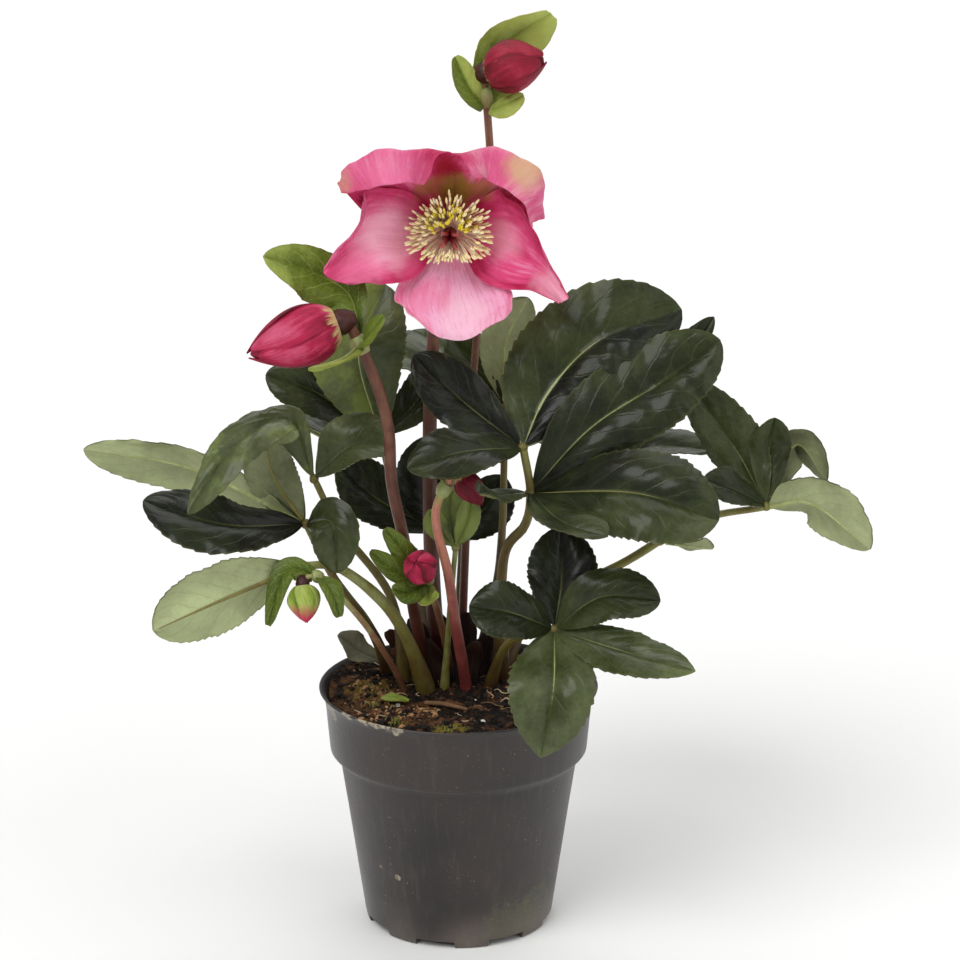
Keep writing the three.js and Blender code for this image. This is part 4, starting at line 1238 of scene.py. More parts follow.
@dataclass
class Leaf:
    """A leaf: its petiole, a hub at each joint, and its leaflets."""

    name: str
    petiole: tuple[Point, ...]
    radii: tuple[float, ...]
    blades: tuple[Blade, ...]
    slot: str = "leaf_dark"
    joints: tuple[Point, ...] = ()
    foot_shade: float = 0.05
    top_shade: float = 0.6
    steps: int = 30

    def build(self) -> None:
        """Makes the whole leaf and ties it to the frame."""
        stalk = tube(f"{self.name}_petiole", self.petiole, self.radii, 12, self.steps, self.channel)
        parts = [paint(along_tint(stalk, self.foot_shade, self.top_shade), PETIOLE)]
        joints = (self.petiole[-1], *self.joints)
        parts += [self.hub(Vector(joint)) for joint in joints]
        for index, blade in enumerate(self.blades):
            grown = replace(blade, rib=(joints[blade.joint], *blade.rib))
            parts += grown.build(f"{self.name}_{index}", LEAF_FACE, LEAF_BACK, PETIOLE)
        finish_piece(joined(f"{self.name}_grown", parts), [self.name])

    @staticmethod
    def channel(across: float, along: float) -> float:
        """Returns the swell of a petiole: a shallow channel along it, and a broad foot."""
        dent = 0.2 * math.exp(-(((across - 0.25) * 7) ** 2))
        return (1 - dent) * (1 + 0.6 * smooth(0.42, 0.08, along)) * (1 + 0.02 * math.sin(40 * along))

    def hub(self, centre: Vector) -> Piece:
        """Makes the small swelling where leaflets meet.

        Args:
            centre: Its place in millimetres.

        Returns:
            The hub.
        """
        clear_selection()
        radius = (self.radii[-1] + 0.5) * MM
        bpy.ops.mesh.primitive_uv_sphere_add(segments=14, ring_count=9, radius=radius)
        knot = bpy.context.active_object
        for vertex in knot.data.vertices:
            bumpy = 1 + 0.14 * noise.noise(vertex.co * 700 + centre)
            vertex.co = vertex.co * bumpy + centre * MM
        return paint(tint(knot, self.top_shade - 0.1), PETIOLE)


LEAVES = (
    Leaf(
        "leaf_right_low", standing((14, 2), (22, -16, 130), (40, -38, 143)), (2.3, 2.0, 1.6),
        (
            Blade(((59, -44, 159), (83, -46, 158)), (0, -0.75, 0.65), 12, 12, 0.44),
            Blade(((69, -58, 140), (96, -70, 136)), (0.1, -0.6, 0.8), 10, 14, 0.64, rise=0.2, taper=0.8),
            Blade(
                ((39, -66, 127), (34, -70, 99)), (0, -0.9, 0.4), 17, 18, 0.64, teeth=14, quilt=0.9,
                bite=0.08, taper=0.85,
            ),
            Blade(((22, -46, 153), (5, -44, 155)), (0, -0.75, 0.65), 13, 12, 0.2),
            # Painted shade: a leaflet deep in the plant's shade, painted at the darkest green.
            Blade(((43, -28, 160), (43, -18, 181)), (0, -0.9, 0.4), 14, 15, 0.0),
        ),
    ),
    Leaf(
        "leaf_right_high",
        standing((18, 12), (19, -6, 163), (28, -14, 181), (30, -22, 197), (27, -17, 215)),
        (2.8, 2.6, 2.4, 2.2, 1.8),
        (
            # Painted shade: this leaflet's right half, turned from the light, is painted near black.
            Blade(
                ((38, -8, 237), (59, -4, 258), (93, 4, 269)), (-0.35, -0.8, 0.5), 24, 22, 0.5, 0.08,
                fold=-0.02, lean=-0.3, teeth=22, quilt=0.9, pucker=1.3, pairs=8,
            ),
            Blade(((3, -8, 232), (-18, -2, 251)), (0.1, -0.9, 0.4), 13, 12, 0.06),
            Blade(((3, -36, 218.5), (-20, -42, 213)), (-0.1, -0.6, 0.8), 14, 12, 0.26),
            # Painted shade and light: the shade rises from a dark foot, under the leaflet above, to a lighter
            # tip.
            Blade(
                ((55, -22, 225), (85, -14, 243), (108, -8, 259)), (-0.3, -0.8, 0.55), 18, 18, 0.28, 0.24,
                joint=1, rise=0.4, fold=0.05, lean=-0.25, teeth=22, quilt=0.7, pucker=1.0, pairs=8,
            ),
            Blade(((76, 0, 222), (107, 8, 265)), (-0.2, -0.9, 0.3), 10, 8, 0.2, joint=1),
            Blade(
                ((72, -50, 205), (105, -58, 196)), (0.1, -0.8, 0.6), 20, 21, 0.28, 0.46, joint=1, rise=0.2,
                fold=0.02, dome=0.16, teeth=20, quilt=0.7, pucker=1.1,
            ),
            Blade(((42, -56, 195), (60, -68, 192)), (0.2, -0.35, 0.9), 12, 11, 0.4, joint=1),
            Blade(((17, -48, 203), (9, -58, 207)), (-0.1, -0.4, 0.9), 9, 9, 0.3, joint=1, teeth=9),
        ),
        joints=((30, -22, 197),), steps=44,
    ),
    Leaf(
        "leaf_far_right", standing((12, 24), (44, 14, 140), (72, 6, 159), (101, -1, 179), (130, -4, 186)),
        (2.4, 2.2, 2.0, 1.5),
        (
            Blade(((118, 8, 207), (97, 8, 237)), (-0.3, -0.9, 0.2), 11, 14, 0.55),
            Blade(((131, 3, 207), (133, 2, 223)), (0, -0.9, 0.2), 8, 9, 0.5, teeth=10),
            Blade(((143, 9, 210), (156, 4, 195)), (0.4, 0.7, 0.6), 9, 8, 0.25, teeth=10),
            Blade(((148, -13, 190), (172, -20, 172)), (0.1, 0.9, 0.4), 12, 13, 0.62),
            Blade(((115, -16, 197), (102, -18, 202)), (0, -0.7, 0.7), 8, 8, 0.25, teeth=9),
            Blade(((99, 12, 164), (110, 20, 160)), (0, 0.7, 0.7), 5, 5, 0.6, joint=1, teeth=8),
        ),
        joints=((86, 2, 169),), foot_shade=0.3, top_shade=0.75, steps=40,
    ),
    Leaf(
        "leaf_left", standing((-31, 14), (-38, 0, 131), (-52, -16, 158), (-63, -20, 183)), (2.4, 2.2, 1.7),
        (
            Blade(((-76, -12, 200), (-82, 0, 216)), (-0.2, 0.9, 0.3), 10, 12, 0.18),
            Blade(((-95, -34, 187), (-129, -30, 196)), (0, -0.6, 0.8), 17, 12, 0.08, teeth=16),
            Blade(((-112, -2, 202), (-156, -8, 212)), (-0.1, 0.95, 0.1), 8, 13, 0.65, teeth=15, rise=0.4),
            Blade(((-51, -42, 190), (-49, -46, 170)), (0, -0.9, 0.4), 10, 10, 0.46, teeth=10),
        ),
    ),
    Leaf(
        "leaf_left_low", standing((-15, -3), (-27, -20, 143), (-48, -32, 167), (-64, -36, 170)),
        (3.1, 3.0, 2.6, 1.6),
        (
            Blade(
                ((-95, -52, 161), (-123, -60, 150)), (-0.2, 0.9, 0.3), 16, 19, 0.85, teeth=18, quilt=1.0,
                pairs=10, rib_shade=0.55,
            ),
        ),
        slot="leaf_pale", foot_shade=0.25, top_shade=0.8,
    ),
    Leaf(
        "leaf_cupped", standing((-24, 8), (-29, 2, 144), (-50, -6, 177), (-60, -11, 200)), (2.2, 2.0, 1.5),
        (
            Blade(((-44, -17, 216), (-27, -16, 216)), (0, -0.6, 0.8), 13, 13, 0.66, fold=0.4),
            Blade(
                ((-70, -14, 226), (-90, -34, 221), (-109, -46, 195)), (-0.3, -0.7, 0.6), 13, 8, 0.75,
                teeth=16, quilt=1.1,
            ),
        ),
        slot="leaf_green", foot_shade=0.2,
    ),
    Leaf(
        "leaf_behind_bud", standing((-18, 28), (-22, 20, 156), (-33, 14, 211)), (2.3, 2.0, 1.6),
        (
            Blade(((-42, 14, 249), (-31, 22, 276)), (0, -0.95, 0.3), 21, 20, 0.98, 0.66, teeth=16),
            Blade(((-59, 12, 231), (-81, 14, 239)), (0.1, -0.9, 0.4), 11, 11, 0.3),
            Blade(((-18, 26, 224), (-8, 22, 243)), (-0.1, -0.9, 0.4), 9, 9, 0.4, teeth=10),
        ),
        slot="leaf_green",
    ),
    Leaf(
        "leaf_behind_bloom", standing((10, 36), (18, 32, 153), (20, 33, 220)), (2.3, 2.0, 1.5),
        (
            Blade(((20, 38, 246), (30, 42, 266)), (0, 0.95, 0.2), 11, 11, 0.55),
            Blade(((8, 40, 236), (-4, 44, 250)), (0, -0.9, 0.4), 10, 9, 0.5, teeth=10),
            Blade(((26, 24, 217), (24, 12, 211)), (0.2, -0.8, 0.5), 6, 6, 0.4, teeth=8),
        ),
        slot="leaf_green",
    ),
    Leaf(
        "leaf_back_left", standing((-10, 40), (-26, 58, 148), (-46, 68, 190)), (2.4, 2.2, 1.7),
        (
            Blade(((-76, 70, 204), (-102, 74, 200)), (-0.1, 0.1, 1), 15, 15, 0.4),
            Blade(((-72, 92, 200), (-94, 112, 188)), (-0.1, 0.3, 1), 15, 15, 0.35),
            Blade(((-50, 100, 202), (-56, 130, 190)), (0, 0.3, 1), 15, 15, 0.45),
            Blade(((-24, 90, 202), (-12, 114, 196)), (0.1, 0.2, 1), 13, 13, 0.4),
        ),
    ),
    Leaf(
        "leaf_back_middle", standing((0, 48), (2, 62, 160), (8, 66, 214)), (2.5, 2.2, 1.7),
        (
            Blade(((-20, 62, 234), (-46, 60, 238)), (0, -0.3, 1), 14, 14, 0.55),
            Blade(((-6, 88, 232), (-22, 112, 236)), (-0.1, 0.1, 1), 14, 14, 0.5),
            Blade(((22, 92, 232), (34, 120, 230)), (0.1, 0.1, 1), 15, 15, 0.6),
            Blade(((38, 70, 232), (68, 74, 232)), (0.1, -0.2, 1), 14, 14, 0.5),
        ),
        slot="leaf_green",
    ),
    Leaf(
        "leaf_back_right", standing((22, 34), (42, 52, 146), (58, 62, 180)), (2.4, 2.2, 1.7),
        (
            Blade(((84, 54, 196), (112, 50, 196)), (0, -0.2, 1), 14, 14, 0.4),
            Blade(((84, 78, 192), (110, 96, 184)), (0.1, 0.2, 1), 15, 15, 0.35),
            Blade(((66, 92, 190), (72, 122, 178)), (0, 0.3, 1), 15, 15, 0.45),
            Blade(((40, 88, 190), (26, 112, 180)), (-0.1, 0.3, 1), 13, 13, 0.4),
        ),
    ),
    # Painted shade: low leaflets that fill the plant's shaded middle, given dark shades.
    Leaf(
        "leaf_back_low", standing((-16, 46), (-14, 54, 130), (-8, 58, 156)), (2.2, 2.0, 1.6),
        (
            Blade(((10, 50, 168), (20, 44, 186)), (0, -0.9, 0.4), 12, 12, 0.1),
            Blade(((-14, 48, 180), (-16, 42, 204)), (0, -0.9, 0.4), 13, 13, 0.1),
            Blade(((-36, 56, 172), (-54, 52, 190)), (0, -0.8, 0.6), 13, 13, 0.2),
            Blade(((-18, 82, 160), (-24, 102, 152)), (0, 0.3, 1), 14, 14, 0.3),
        ),
    ),
    Leaf(
        "leaf_young", standing((-6, -1), (-3, -13, 149), (-1, -18, 172)), (1.6, 1.5, 1.2),
        (
            Blade(((4, -20, 184), (6, -20, 196)), (0, -0.9, 0.3), 5, 5, 1.0, teeth=9, quilt=0.4),
            Blade(((-8, -17, 180), (-12, -16, 188)), (0, -0.9, 0.3), 5, 5, 0.95, teeth=9, quilt=0.4),
            Blade(((-3, -13, 188), (-2, -8, 200)), (0, -0.9, 0.3), 5, 5, 0.9, teeth=9, quilt=0.4),
        ),
        slot="leaf_young", foot_shade=0.7, top_shade=0.85,
    ),
)


# ---------------------------------------------------------------- the open flower


class Axis:
    """A place with a heading, and points around it."""

    def __init__(self, centre: Point, heading: Point) -> None:
        """Works out the two cross directions.

        Args:
            centre: The starting place, in millimetres.
            heading: Where the axis points.
        """
        self.centre = Vector(centre)
        self.heading = Vector(heading).normalized()
        helper = Vector((0, 0, 1)) if abs(self.heading.z) < 0.8 else Vector((0, 1, 0))
        self.right = self.heading.cross(helper).normalized()
        self.up = self.right.cross(self.heading).normalized()

    def point(self, radius: float, angle: float, height: float) -> Vector:
        """Returns the point at a distance off the axis, an angle round it and a height along it."""
        out = self.right * math.cos(angle) + self.up * math.sin(angle)
        return self.centre + self.heading * height + out * radius

    def turned(self, angle: float, tilt: float, root: Vector, scale: float) -> Matrix:
        """Returns the placing of a model that stands along +Z.

        Args:
            angle: Which side of the axis it leans to.
            tilt: How far it leans off the axis.
            root: Where its foot goes, in millimetres.
            scale: How much it is enlarged.

        Returns:
            The placing, for a model in metres.
        """
        out = self.right * math.cos(angle) + self.up * math.sin(angle)
        along = self.heading * math.cos(tilt) + out * math.sin(tilt)
        side = out.cross(self.heading).normalized()
        lean = side.cross(along).normalized()
        turn = Matrix((lean, side, along)).transposed().to_4x4()
        return Matrix.Translation(root * MM) @ turn @ Matrix.Scale(scale, 4)

    def lathe(self, name: str, outline: Profile, sides: int, swell: Formula | None = None) -> Piece:
        """Makes a closed turned shape.

        Args:
            name: The piece's name.
            outline: Rows of (height along the axis, radius) from one end to the other.
            sides: How many sides it has.
            swell: Multiplies the radius at (share of the way round, share of the way along).

        Returns:
            The new piece.
        """
        last = len(outline) + 1

        def place(across: float, along: float) -> Vector:
            """Lays one corner on its ring, and the end rings on the axis."""
            index = round(along * last)
            height, radius = outline[min(max(index - 1, 0), len(outline) - 1)]
            if index in (0, last):
                radius = 0.0
            if swell:
                radius *= swell(across, along)
            return self.point(radius, 2 * math.pi * across, height)

        return close_up(sheet(name, sides, last, place))


BLOOM_AXIS = Axis((-3, -6, 305), (0, -0.995, -0.1))


@dataclass(frozen=True)
class Sepal:
    """One sepal of the open flower: rows of points from its foot to its tip, off the flower's centre."""

    name: str
    net: tuple[tuple[Point, ...], ...]
    shade: float
    ruffle: float = 1.0
    pleat: float = 0.6
    pleats: float = 2.5


SEPALS = (
    Sepal(
        "lower",
        (
            ((-5, -1, -4), (-3, -1, -5), (0, -1, -6), (2, -1, -5), (4, -1, -4)),
            ((-16, -3, -15), (-9, -5, -16), (0, -5, -17), (8, -5, -16), (16, -4, -14)),
            ((-22, -13, -24), (-13, -13, -28), (1, -12, -31), (14, -14, -28), (24.5, -14.5, -22.5)),
            ((-17, -21, -31), (-7, -19, -39), (5, -18, -43), (16, -20, -37), (24, -24, -29)),
        ),
        1.0, pleat=2.1, pleats=1.5,
    ),
    Sepal(
        "left",
        (
            ((-5, -1, 6), (-6, -1, 4), (-7, -1, 2), (-6, -1, -1), (-5, -1, -4)),
            ((-17, -12, 17), (-20, -9, 9), (-21, -7, 0), (-18, -8, -9), (-12, -9, -17)),
            ((-32, -21, 19), (-33, -17, 11), (-32, -13, 1), (-29, -13, -9), (-23, -16, -20)),
            ((-35, -20, 9), (-39, -17, 2), (-43, -15, -6), (-40, -15, -14), (-31, -17, -19)),
            ((-39, -18, -1), (-46, -18, -7), (-51, -19, -14), (-47, -18, -18), (-40, -17, -20)),
        ),
        0.5, pleat=1.2, pleats=2.0,
    ),
    Sepal(
        "upper_left",
        (
            ((1, -1, 6.5), (-1, -1, 6.5), (-3, -1, 6.5), (-4, -1, 6), (-5, -1, 4)),
            ((2, -8, 22), (-10, -9, 21), (-17, -9, 17), (-21, -9, 12), (-22, -8, 5)),
            ((2, -17, 33), (-15, -19, 31), (-27, -18, 25), (-33, -16, 16), (-33, -13, 8)),
            ((-5, -23, 33), (-17, -30, 36), (-32, -32, 35), (-41, -30, 28), (-43, -27, 22)),
            ((-10, -25, 22), (-17, -37, 25), (-27, -41, 24), (-36, -38, 22), (-42, -34, 20)),
        ),
        0.4,
    ),
    Sepal(
        "upper_right",
        (
            ((5, -1, 4), (5, -1, 5.5), (4, -1, 6.5), (1, -1, 6.5), (-1.5, -1, 6.5)),
            ((21, -8, 4), (20, -9, 11), (16, -9, 16), (9, -8, 20), (-3, -6, 21)),
            ((33, -14, 5), (30, -17, 18), (25, -18, 26), (14, -18, 31), (-1, -16, 31)),
            ((37, -22, 8), (38, -28, 18), (34, -33, 31), (20, -31, 36), (5, -23, 33)),
            ((33, -30, 6), (30, -36, 15), (23, -38, 22), (16, -35, 25), (12, -25, 25)),
        ),
        0.55,
    ),
    Sepal(
        "right",
        (
            ((4, -1, -4), (5, -1, -1), (6, -1, 1), (6, -1, 4), (5, -1, 6)),
            ((11, -10, -18), (16, -8, -11), (19, -7, -2), (19, -9, 7), (16, -13, 16)),
            ((22, -16, -22), (25, -13, -15), (27, -12, -5), (27, -15, 6), (24, -21, 17)),
            ((33, -19, -22), (36, -17, -17), (36, -16, -11), (35, -18, -3), (32, -21, 6)),
            ((44, -21, -27), (46, -22, -26), (48, -22, -24), (45, -22, -19), (41, -21, -13)),
        ),
        0.4, pleat=1.2, pleats=2.0,
    ),
)


@dataclass
class Flower:
    """The open flower: sepals on a disc, nectaries, stamens and carpels on the stem's peg."""

    columns: int = 36
    rows: int = 40
    stamens: int = 220
    young: int = 60
    stamen_root: float = 3.2
    stamen_base: float = 5.6
    stamen_length: float = 16.2
    nectaries: int = 11
    carpels: int = 4
    seed: int = 11
    axis: Axis = field(default_factory=lambda: BLOOM_AXIS)

    def build(self) -> None:
        """Makes the flower's pieces."""
        self.build_sepals()
        self.build_nectaries()
        self.build_stamens()
        self.build_carpels()

    def build_sepals(self) -> None:
        """Makes the sepals and the disc that they grow on."""
        parts = [self.sepal(spec, index) for index, spec in enumerate(SEPALS)]
        outline = ((-0.6, 5.0), (-0.2, 6.8), (0.6, 7.4), (1.4, 7.4), (1.8, 6.6))
        parts.append(paint(tint(self.axis.lathe("bloom_disc", outline, 28), 0.3), NECTARY))
        finish_piece(joined("sepals_open", parts), ["bloom_sepals"])

    def sepal(self, spec: Sepal, index: int) -> Piece:
        """Makes one sepal.

        Args:
            spec: Its net and shade.
            index: Its number, which moves its ruffles.

        Returns:
            The sepal.
        """
        lengthwise = [SmoothPath([row[column] for row in spec.net]) for column in range(5)]
        steps = [row / self.rows for row in range(self.rows + 1)]
        across_at = [SmoothPath([line.at(step) for line in lengthwise]) for step in steps]
        shift = Vector((13.0 * index, 0, 0))

        def place(across: float, along: float) -> Vector:
            """Lays one corner of the sepal."""
            return self.axis.centre + across_at[round(along * self.rows)].at(across)

        def relief(across: float, along: float) -> float:
            """Gives the sepal its fine lengthwise ribs, soft dents and a ruffled edge."""
            off = abs(2 * across - 1)
            outer = max(off, 2 * along - 1)
            ribs = 0.22 * math.cos(2 * math.pi * 9 * across) * (1 - 0.6 * along)
            turn = 2 * math.pi * spec.pleats * (across + 0.12 * along)
            pleats = spec.pleat * math.sin(turn) * (1 - outer**3)
            soft = noise.noise(Vector((4.5 * across, 2.2 * along, 0)) + shift)
            ruffle = noise.noise(Vector((5 * across, 5 * along, 2)) + shift) * outer**3
            return (ribs + pleats + 1.5 * soft + 3.4 * spec.ruffle * ruffle) * smooth(0.02, 0.35, along)

        piece = sheet(f"sepal_{spec.name}", self.columns, self.rows, place, relief)
        paint(tint(piece, spec.shade), SEPAL_BACK, SEPAL_FACE)
        return thicken(piece, 0.6)

    def build_nectaries(self) -> None:
        """Makes the ring of small two-lipped cups."""
        outline = ((0.0, 0.5), (1.4, 0.9), (3.2, 1.25), (4.6, 1.5), (5.2, 1.45), (5.0, 1.15))
        outline += ((3.0, 0.8), (1.6, 0.3))
        model = Axis((0, 0, 0), (0, 0, 1)).lathe("cup", outline, 10, self.lips)
        tint(paint(model, NECTARY), lambda co: 0.2 + 140 * co.z)
        places = []
        for number in range(self.nectaries):
            angle = 2 * math.pi * number / self.nectaries
            root = self.axis.point(3.0, angle, 2.7)
            places.append(self.axis.turned(angle, 0.95, root, 1.0 + 0.08 * math.sin(3 * number)))
        cups = copies("cups", [model], places)
        collar = self.axis.lathe("collar", ((2.1, 3.2), (3.0, 3.4), (4.2, 3.1)), 20)
        paint(tint(collar, 0.4), NECTARY)
        finish_piece(joined("nectary_ring", [cups, collar]), ["bloom_nectaries"])

    @staticmethod
    def lips(across: float, along: float) -> float:
        """Returns how a nectary widens into its two lips."""
        return 1 + 0.3 * smooth(0.3, 0.6, along) * math.cos(4 * math.pi * across)

    def filament(self, name: str, bend: float, length: float, shade: float) -> Piece:
        """Makes one model stamen, a filament with its anther, standing on the origin.

        Args:
            name: Its name.
            bend: How far it bows, in millimetres.
            length: Its length, in millimetres.
            shade: The anther's shade.

        Returns:
            The stamen.
        """
        points = [(0, 0, 0), (-bend, 0, 0.4 * length), (-0.6 * bend, 0, 0.75 * length), (bend, 0, length)]
        thread = tube(f"{name}_thread", points, (0.5, 0.42, 0.34), 5, 6)
        tint(paint(thread, FILAMENT), lambda co: co.z / (length * MM))
        clear_selection()
        bpy.ops.mesh.primitive_uv_sphere_add(segments=6, ring_count=5, radius=1.0)
        anther = bpy.context.active_object
        tip = Vector((bend, 0, length + 0.5))
        for vertex in anther.data.vertices:
            co = vertex.co
            pinch = 1 - 0.3 * math.exp(-((co.x * 3) ** 2))
            vertex.co = (tip + Vector((co.x * 0.86, co.y * 0.7 * pinch, co.z * 1.8))) * MM
        return joined(name, [thread, paint(tint(anther, shade), ANTHER)])

    def models(self, name: str, bends: Sequence[float], length: float, shade: float) -> list[Piece]:
        """Makes a model stamen for each bend."""
        return [self.filament(f"{name}_{i}", bend, length, shade) for i, bend in enumerate(bends)]

    def build_stamens(self) -> None:
        """Makes the brush of stamens on its drum: long ripe ones, and short young ones above the middle."""
        draw = random.Random(self.seed)
        ripe = self.models("ripe", (0.5, 1.1, 1.7, 0.8), self.stamen_length, 0.6)
        fresh = self.models("fresh", (0.3, 0.7), 0.66 * self.stamen_length, 0.08)
        golden = math.pi * (3 - math.sqrt(5))
        places = []
        for number in range(self.stamens):
            share = math.sqrt((number + 0.5) / self.stamens)
            angle = number * golden + draw.uniform(-0.16, 0.16)
            drawn_in = 0.0 if math.sin(angle) > 0 else 0.66
            hanging = 1 - 0.15 * max(-math.sin(angle), 0.0)
            tilt = (0.42 + 0.72 * share + draw.uniform(-0.08, 0.08)) * (1 - drawn_in * math.sin(angle) ** 2)
            root = self.axis.point(self.stamen_root, angle, self.stamen_base)
            places.append(self.axis.turned(angle, tilt, root, hanging * draw.uniform(0.8, 1.03)))
        brush = copies("brush", ripe, places)
        places = []
        for number in range(self.young):
            angle = math.pi * (0.74 * (number + 0.5) / self.young + 0.13)
            root = self.axis.point(self.stamen_root, angle, self.stamen_base)
            places.append(self.axis.turned(angle, draw.uniform(0.3, 0.92), root, draw.uniform(0.95, 1.2)))
        tuft = copies("tuft", fresh, places)
        drum = self.axis.lathe("drum", ((4.8, 3.6), (5.6, 4.0), (6.5, 3.6)), 20)
        paint(tint(drum, 0.2), FILAMENT)
        finish_piece(joined("stamen_brush", [brush, tuft, drum]), ["bloom_stamens"])

    def build_carpels(self) -> None:
        """Makes the carpels, each with its long curved style."""
        parts = [self.axis.lathe("carpel_seat", ((6.9, 2.2), (8.0, 2.3), (9.6, 1.3)), 16)]
        paint(tint(parts[0], 0.2), CARPEL)
        for number in range(self.carpels):
            angle = 2 * math.pi * (number + 0.5) / self.carpels
            reach = ((0.8, 7.6), (1.9, 10.5), (1.9, 13.5), (2.8, 16.5), (4.2, 18.6))
            points = [self.axis.point(radius, angle + 0.1 * height / 18, height) for radius, height in reach]
            horn = tube("carpel", points, (1.6, 1.8, 1.3, 0.8, 0.55, 0.6), 9, 14)
            tip = points[-1] * MM
            parts.append(paint(tint(horn, lambda co, tip=tip: 1 - min((co - tip).length / 0.012, 1)), CARPEL))
        finish_piece(joined("carpel_horns", parts), ["bloom_carpels"])


# ---------------------------------------------------------------- stems and buds


@dataclass
class Stem:
    """A flower stem, faintly ridged and broader at its foot. Millimetres."""

    name: str
    points: tuple[Point, ...]
    radii: tuple[float, ...]
    foot_shade: float = 0.1
    top_shade: float = 0.6
    steps: int = 60
    skin: Finish = STEM

    def tube(self) -> Piece:
        """Makes the stem.

        Returns:
            The stem's tube.
        """

        def swell(across: float, along: float) -> float:
            """Returns the stem's slight ridges and its foot."""
            ridges = 1 + 0.035 * math.cos(2 * math.pi * 5 * across + 3 * along)
            uneven = 1 + 0.03 * noise.noise(Vector((9 * along, 0, 0)))
            return ridges * (1 + 0.15 * smooth(0.12, 0.0, along)) * uneven

        made = tube(f"{self.name}_tube", self.points, self.radii, 14, self.steps, swell)
        return paint(along_tint(made, self.foot_shade, self.top_shade), self.skin)


@dataclass
class Bud:
    """A closed bud on its stem, with the bracts below it. Millimetres."""

    name: str
    seat: Point
    tip: Point
    radius: float
    stem: Stem
    node: tuple[float, float]
    bracts: tuple[Blade, ...]
    shade: float = 0.5
    slot: str = "bud_pink"
    opened: float = 0.0
    skin: Finish = BUD_FACE

    def build(self) -> None:
        """Makes the bud's stem, sepals and bracts."""
        axis = Axis(self.seat, tuple(Vector(self.tip) - Vector(self.seat)))
        length = (Vector(self.tip) - Vector(self.seat)).length
        self.build_stem(axis)
        self.build_sepals(axis, length)
        self.build_bracts()

    def build_stem(self, axis: Axis) -> None:
        """Makes the stem with the knob that carries the bud.

        Args:
            axis: The bud's axis.
        """
        wide = self.radius
        outline = [(low * wide, half * wide) for low, half in ((-0.72, 0.2), (-0.5, 0.36), (-0.2, 0.46))]
        outline.append((-0.3, 0.44 * wide))
        knob = paint(tint(axis.lathe(f"{self.name}_knob", outline, 18), 0.02), STEM)
        finish_piece(joined(f"{self.name}_stalk", [self.stem.tube(), knob]), [f"{self.name}_stem"])

    def build_sepals(self, axis: Axis, length: float) -> None:
        """Makes the sepals, each tucked under one neighbour and over the other, round a core.

        Args:
            axis: The bud's axis.
            length: The bud's length, in millimetres.
        """
        steps = 22

        def girth(place: float) -> float:
            """Returns the bud's radius at a place along it."""
            share = math.sin(math.pi * (0.08 + 0.92 * min(place, 0.995)) ** 0.75)
            return max(self.radius * max(share, 0.0) ** 0.8, 0.5)

        parts = []
        core_rows = [(length * i / 10, girth(i / 10) * 0.9) for i in range(10)] + [(length * 0.97, 0.4)]
        parts.append(paint(tint(axis.lathe(f"{self.name}_core", core_rows, 16), self.shade - 0.3), self.skin))
        for number in range(5):
            middle = 2 * math.pi * number / 5 + 0.4
            stretch = 1 - 0.05 * (number % 3)

            def place(
                across: float, along: float, middle: float = middle, stretch: float = stretch
            ) -> Vector:
                """Lays one corner of a bud sepal."""
                side = 2 * across - 1
                reach = along * stretch
                rounding = math.sqrt(max(1 - (max(along - 0.5, 0) / 0.51) ** 2, 0.0))
                half = math.radians(66) * (0.12 + 0.88 * rounding)
                angle = middle + side * half + 0.5 * along
                radius = girth(reach) * (1 + 0.055 * side + 0.03 * math.sin(4 * side + 6 * along + middle))
                radius += self.opened * along * along * (1 - 0.25 * side * side)
                return axis.point(radius, angle, length * reach)

            piece = sheet(f"{self.name}_sepal_{number}", 14, steps, place)
            tint(piece, self.shade + 0.12 * math.sin(2.3 * number))
            parts.append(thicken(paint(piece, self.skin, self.skin), 0.45))
        for part in parts[1:]:
            close_up(part)
        finish_piece(joined(f"{self.name}_closed", parts), [f"{self.name}_sepals"])

    def build_bracts(self) -> None:
        """Makes the bracts and the ring that they grow on."""
        path = SmoothPath(self.stem.points)
        places = [self.node[0] + (self.node[1] - self.node[0]) * share for share in (0, 0.35, 0.7, 1)]
        points = [path.at(path.even(place)) for place in places]
        radii = [between(self.stem.radii, place) for place in places]
        wall = (0.7, 1.5, 1.5, 0.7)
        ring = tube(f"{self.name}_ring", points, [r + extra for r, extra in zip(radii, wall)], 14, 8)
        parts = [paint(tint(ring, 1.0), STEM)]
        for index, bract in enumerate(self.bracts):
            parts += bract.build(f"{self.name}_bract_{index}", BRACT_FACE, BRACT_FACE, PETIOLE)
        finish_piece(joined(f"{self.name}_leaves", parts), [f"{self.name}_bracts"])


BRACT_HABIT = {
    "shade": 0.5, "wave": 0.6, "root": 2.4, "teeth": 6, "bite": 0.03, "quilt": 0.35,
    "outline": Outline.BRACT, "pairs": 6.0,
}


def bract(*rib: Point, up: Point, left: float, right: float, **details: float | Outline) -> Blade:
    """Returns a bract's blade, broad from its foot, with few teeth; details change that habit."""
    return Blade(rib, up, left, right, **(BRACT_HABIT | details))


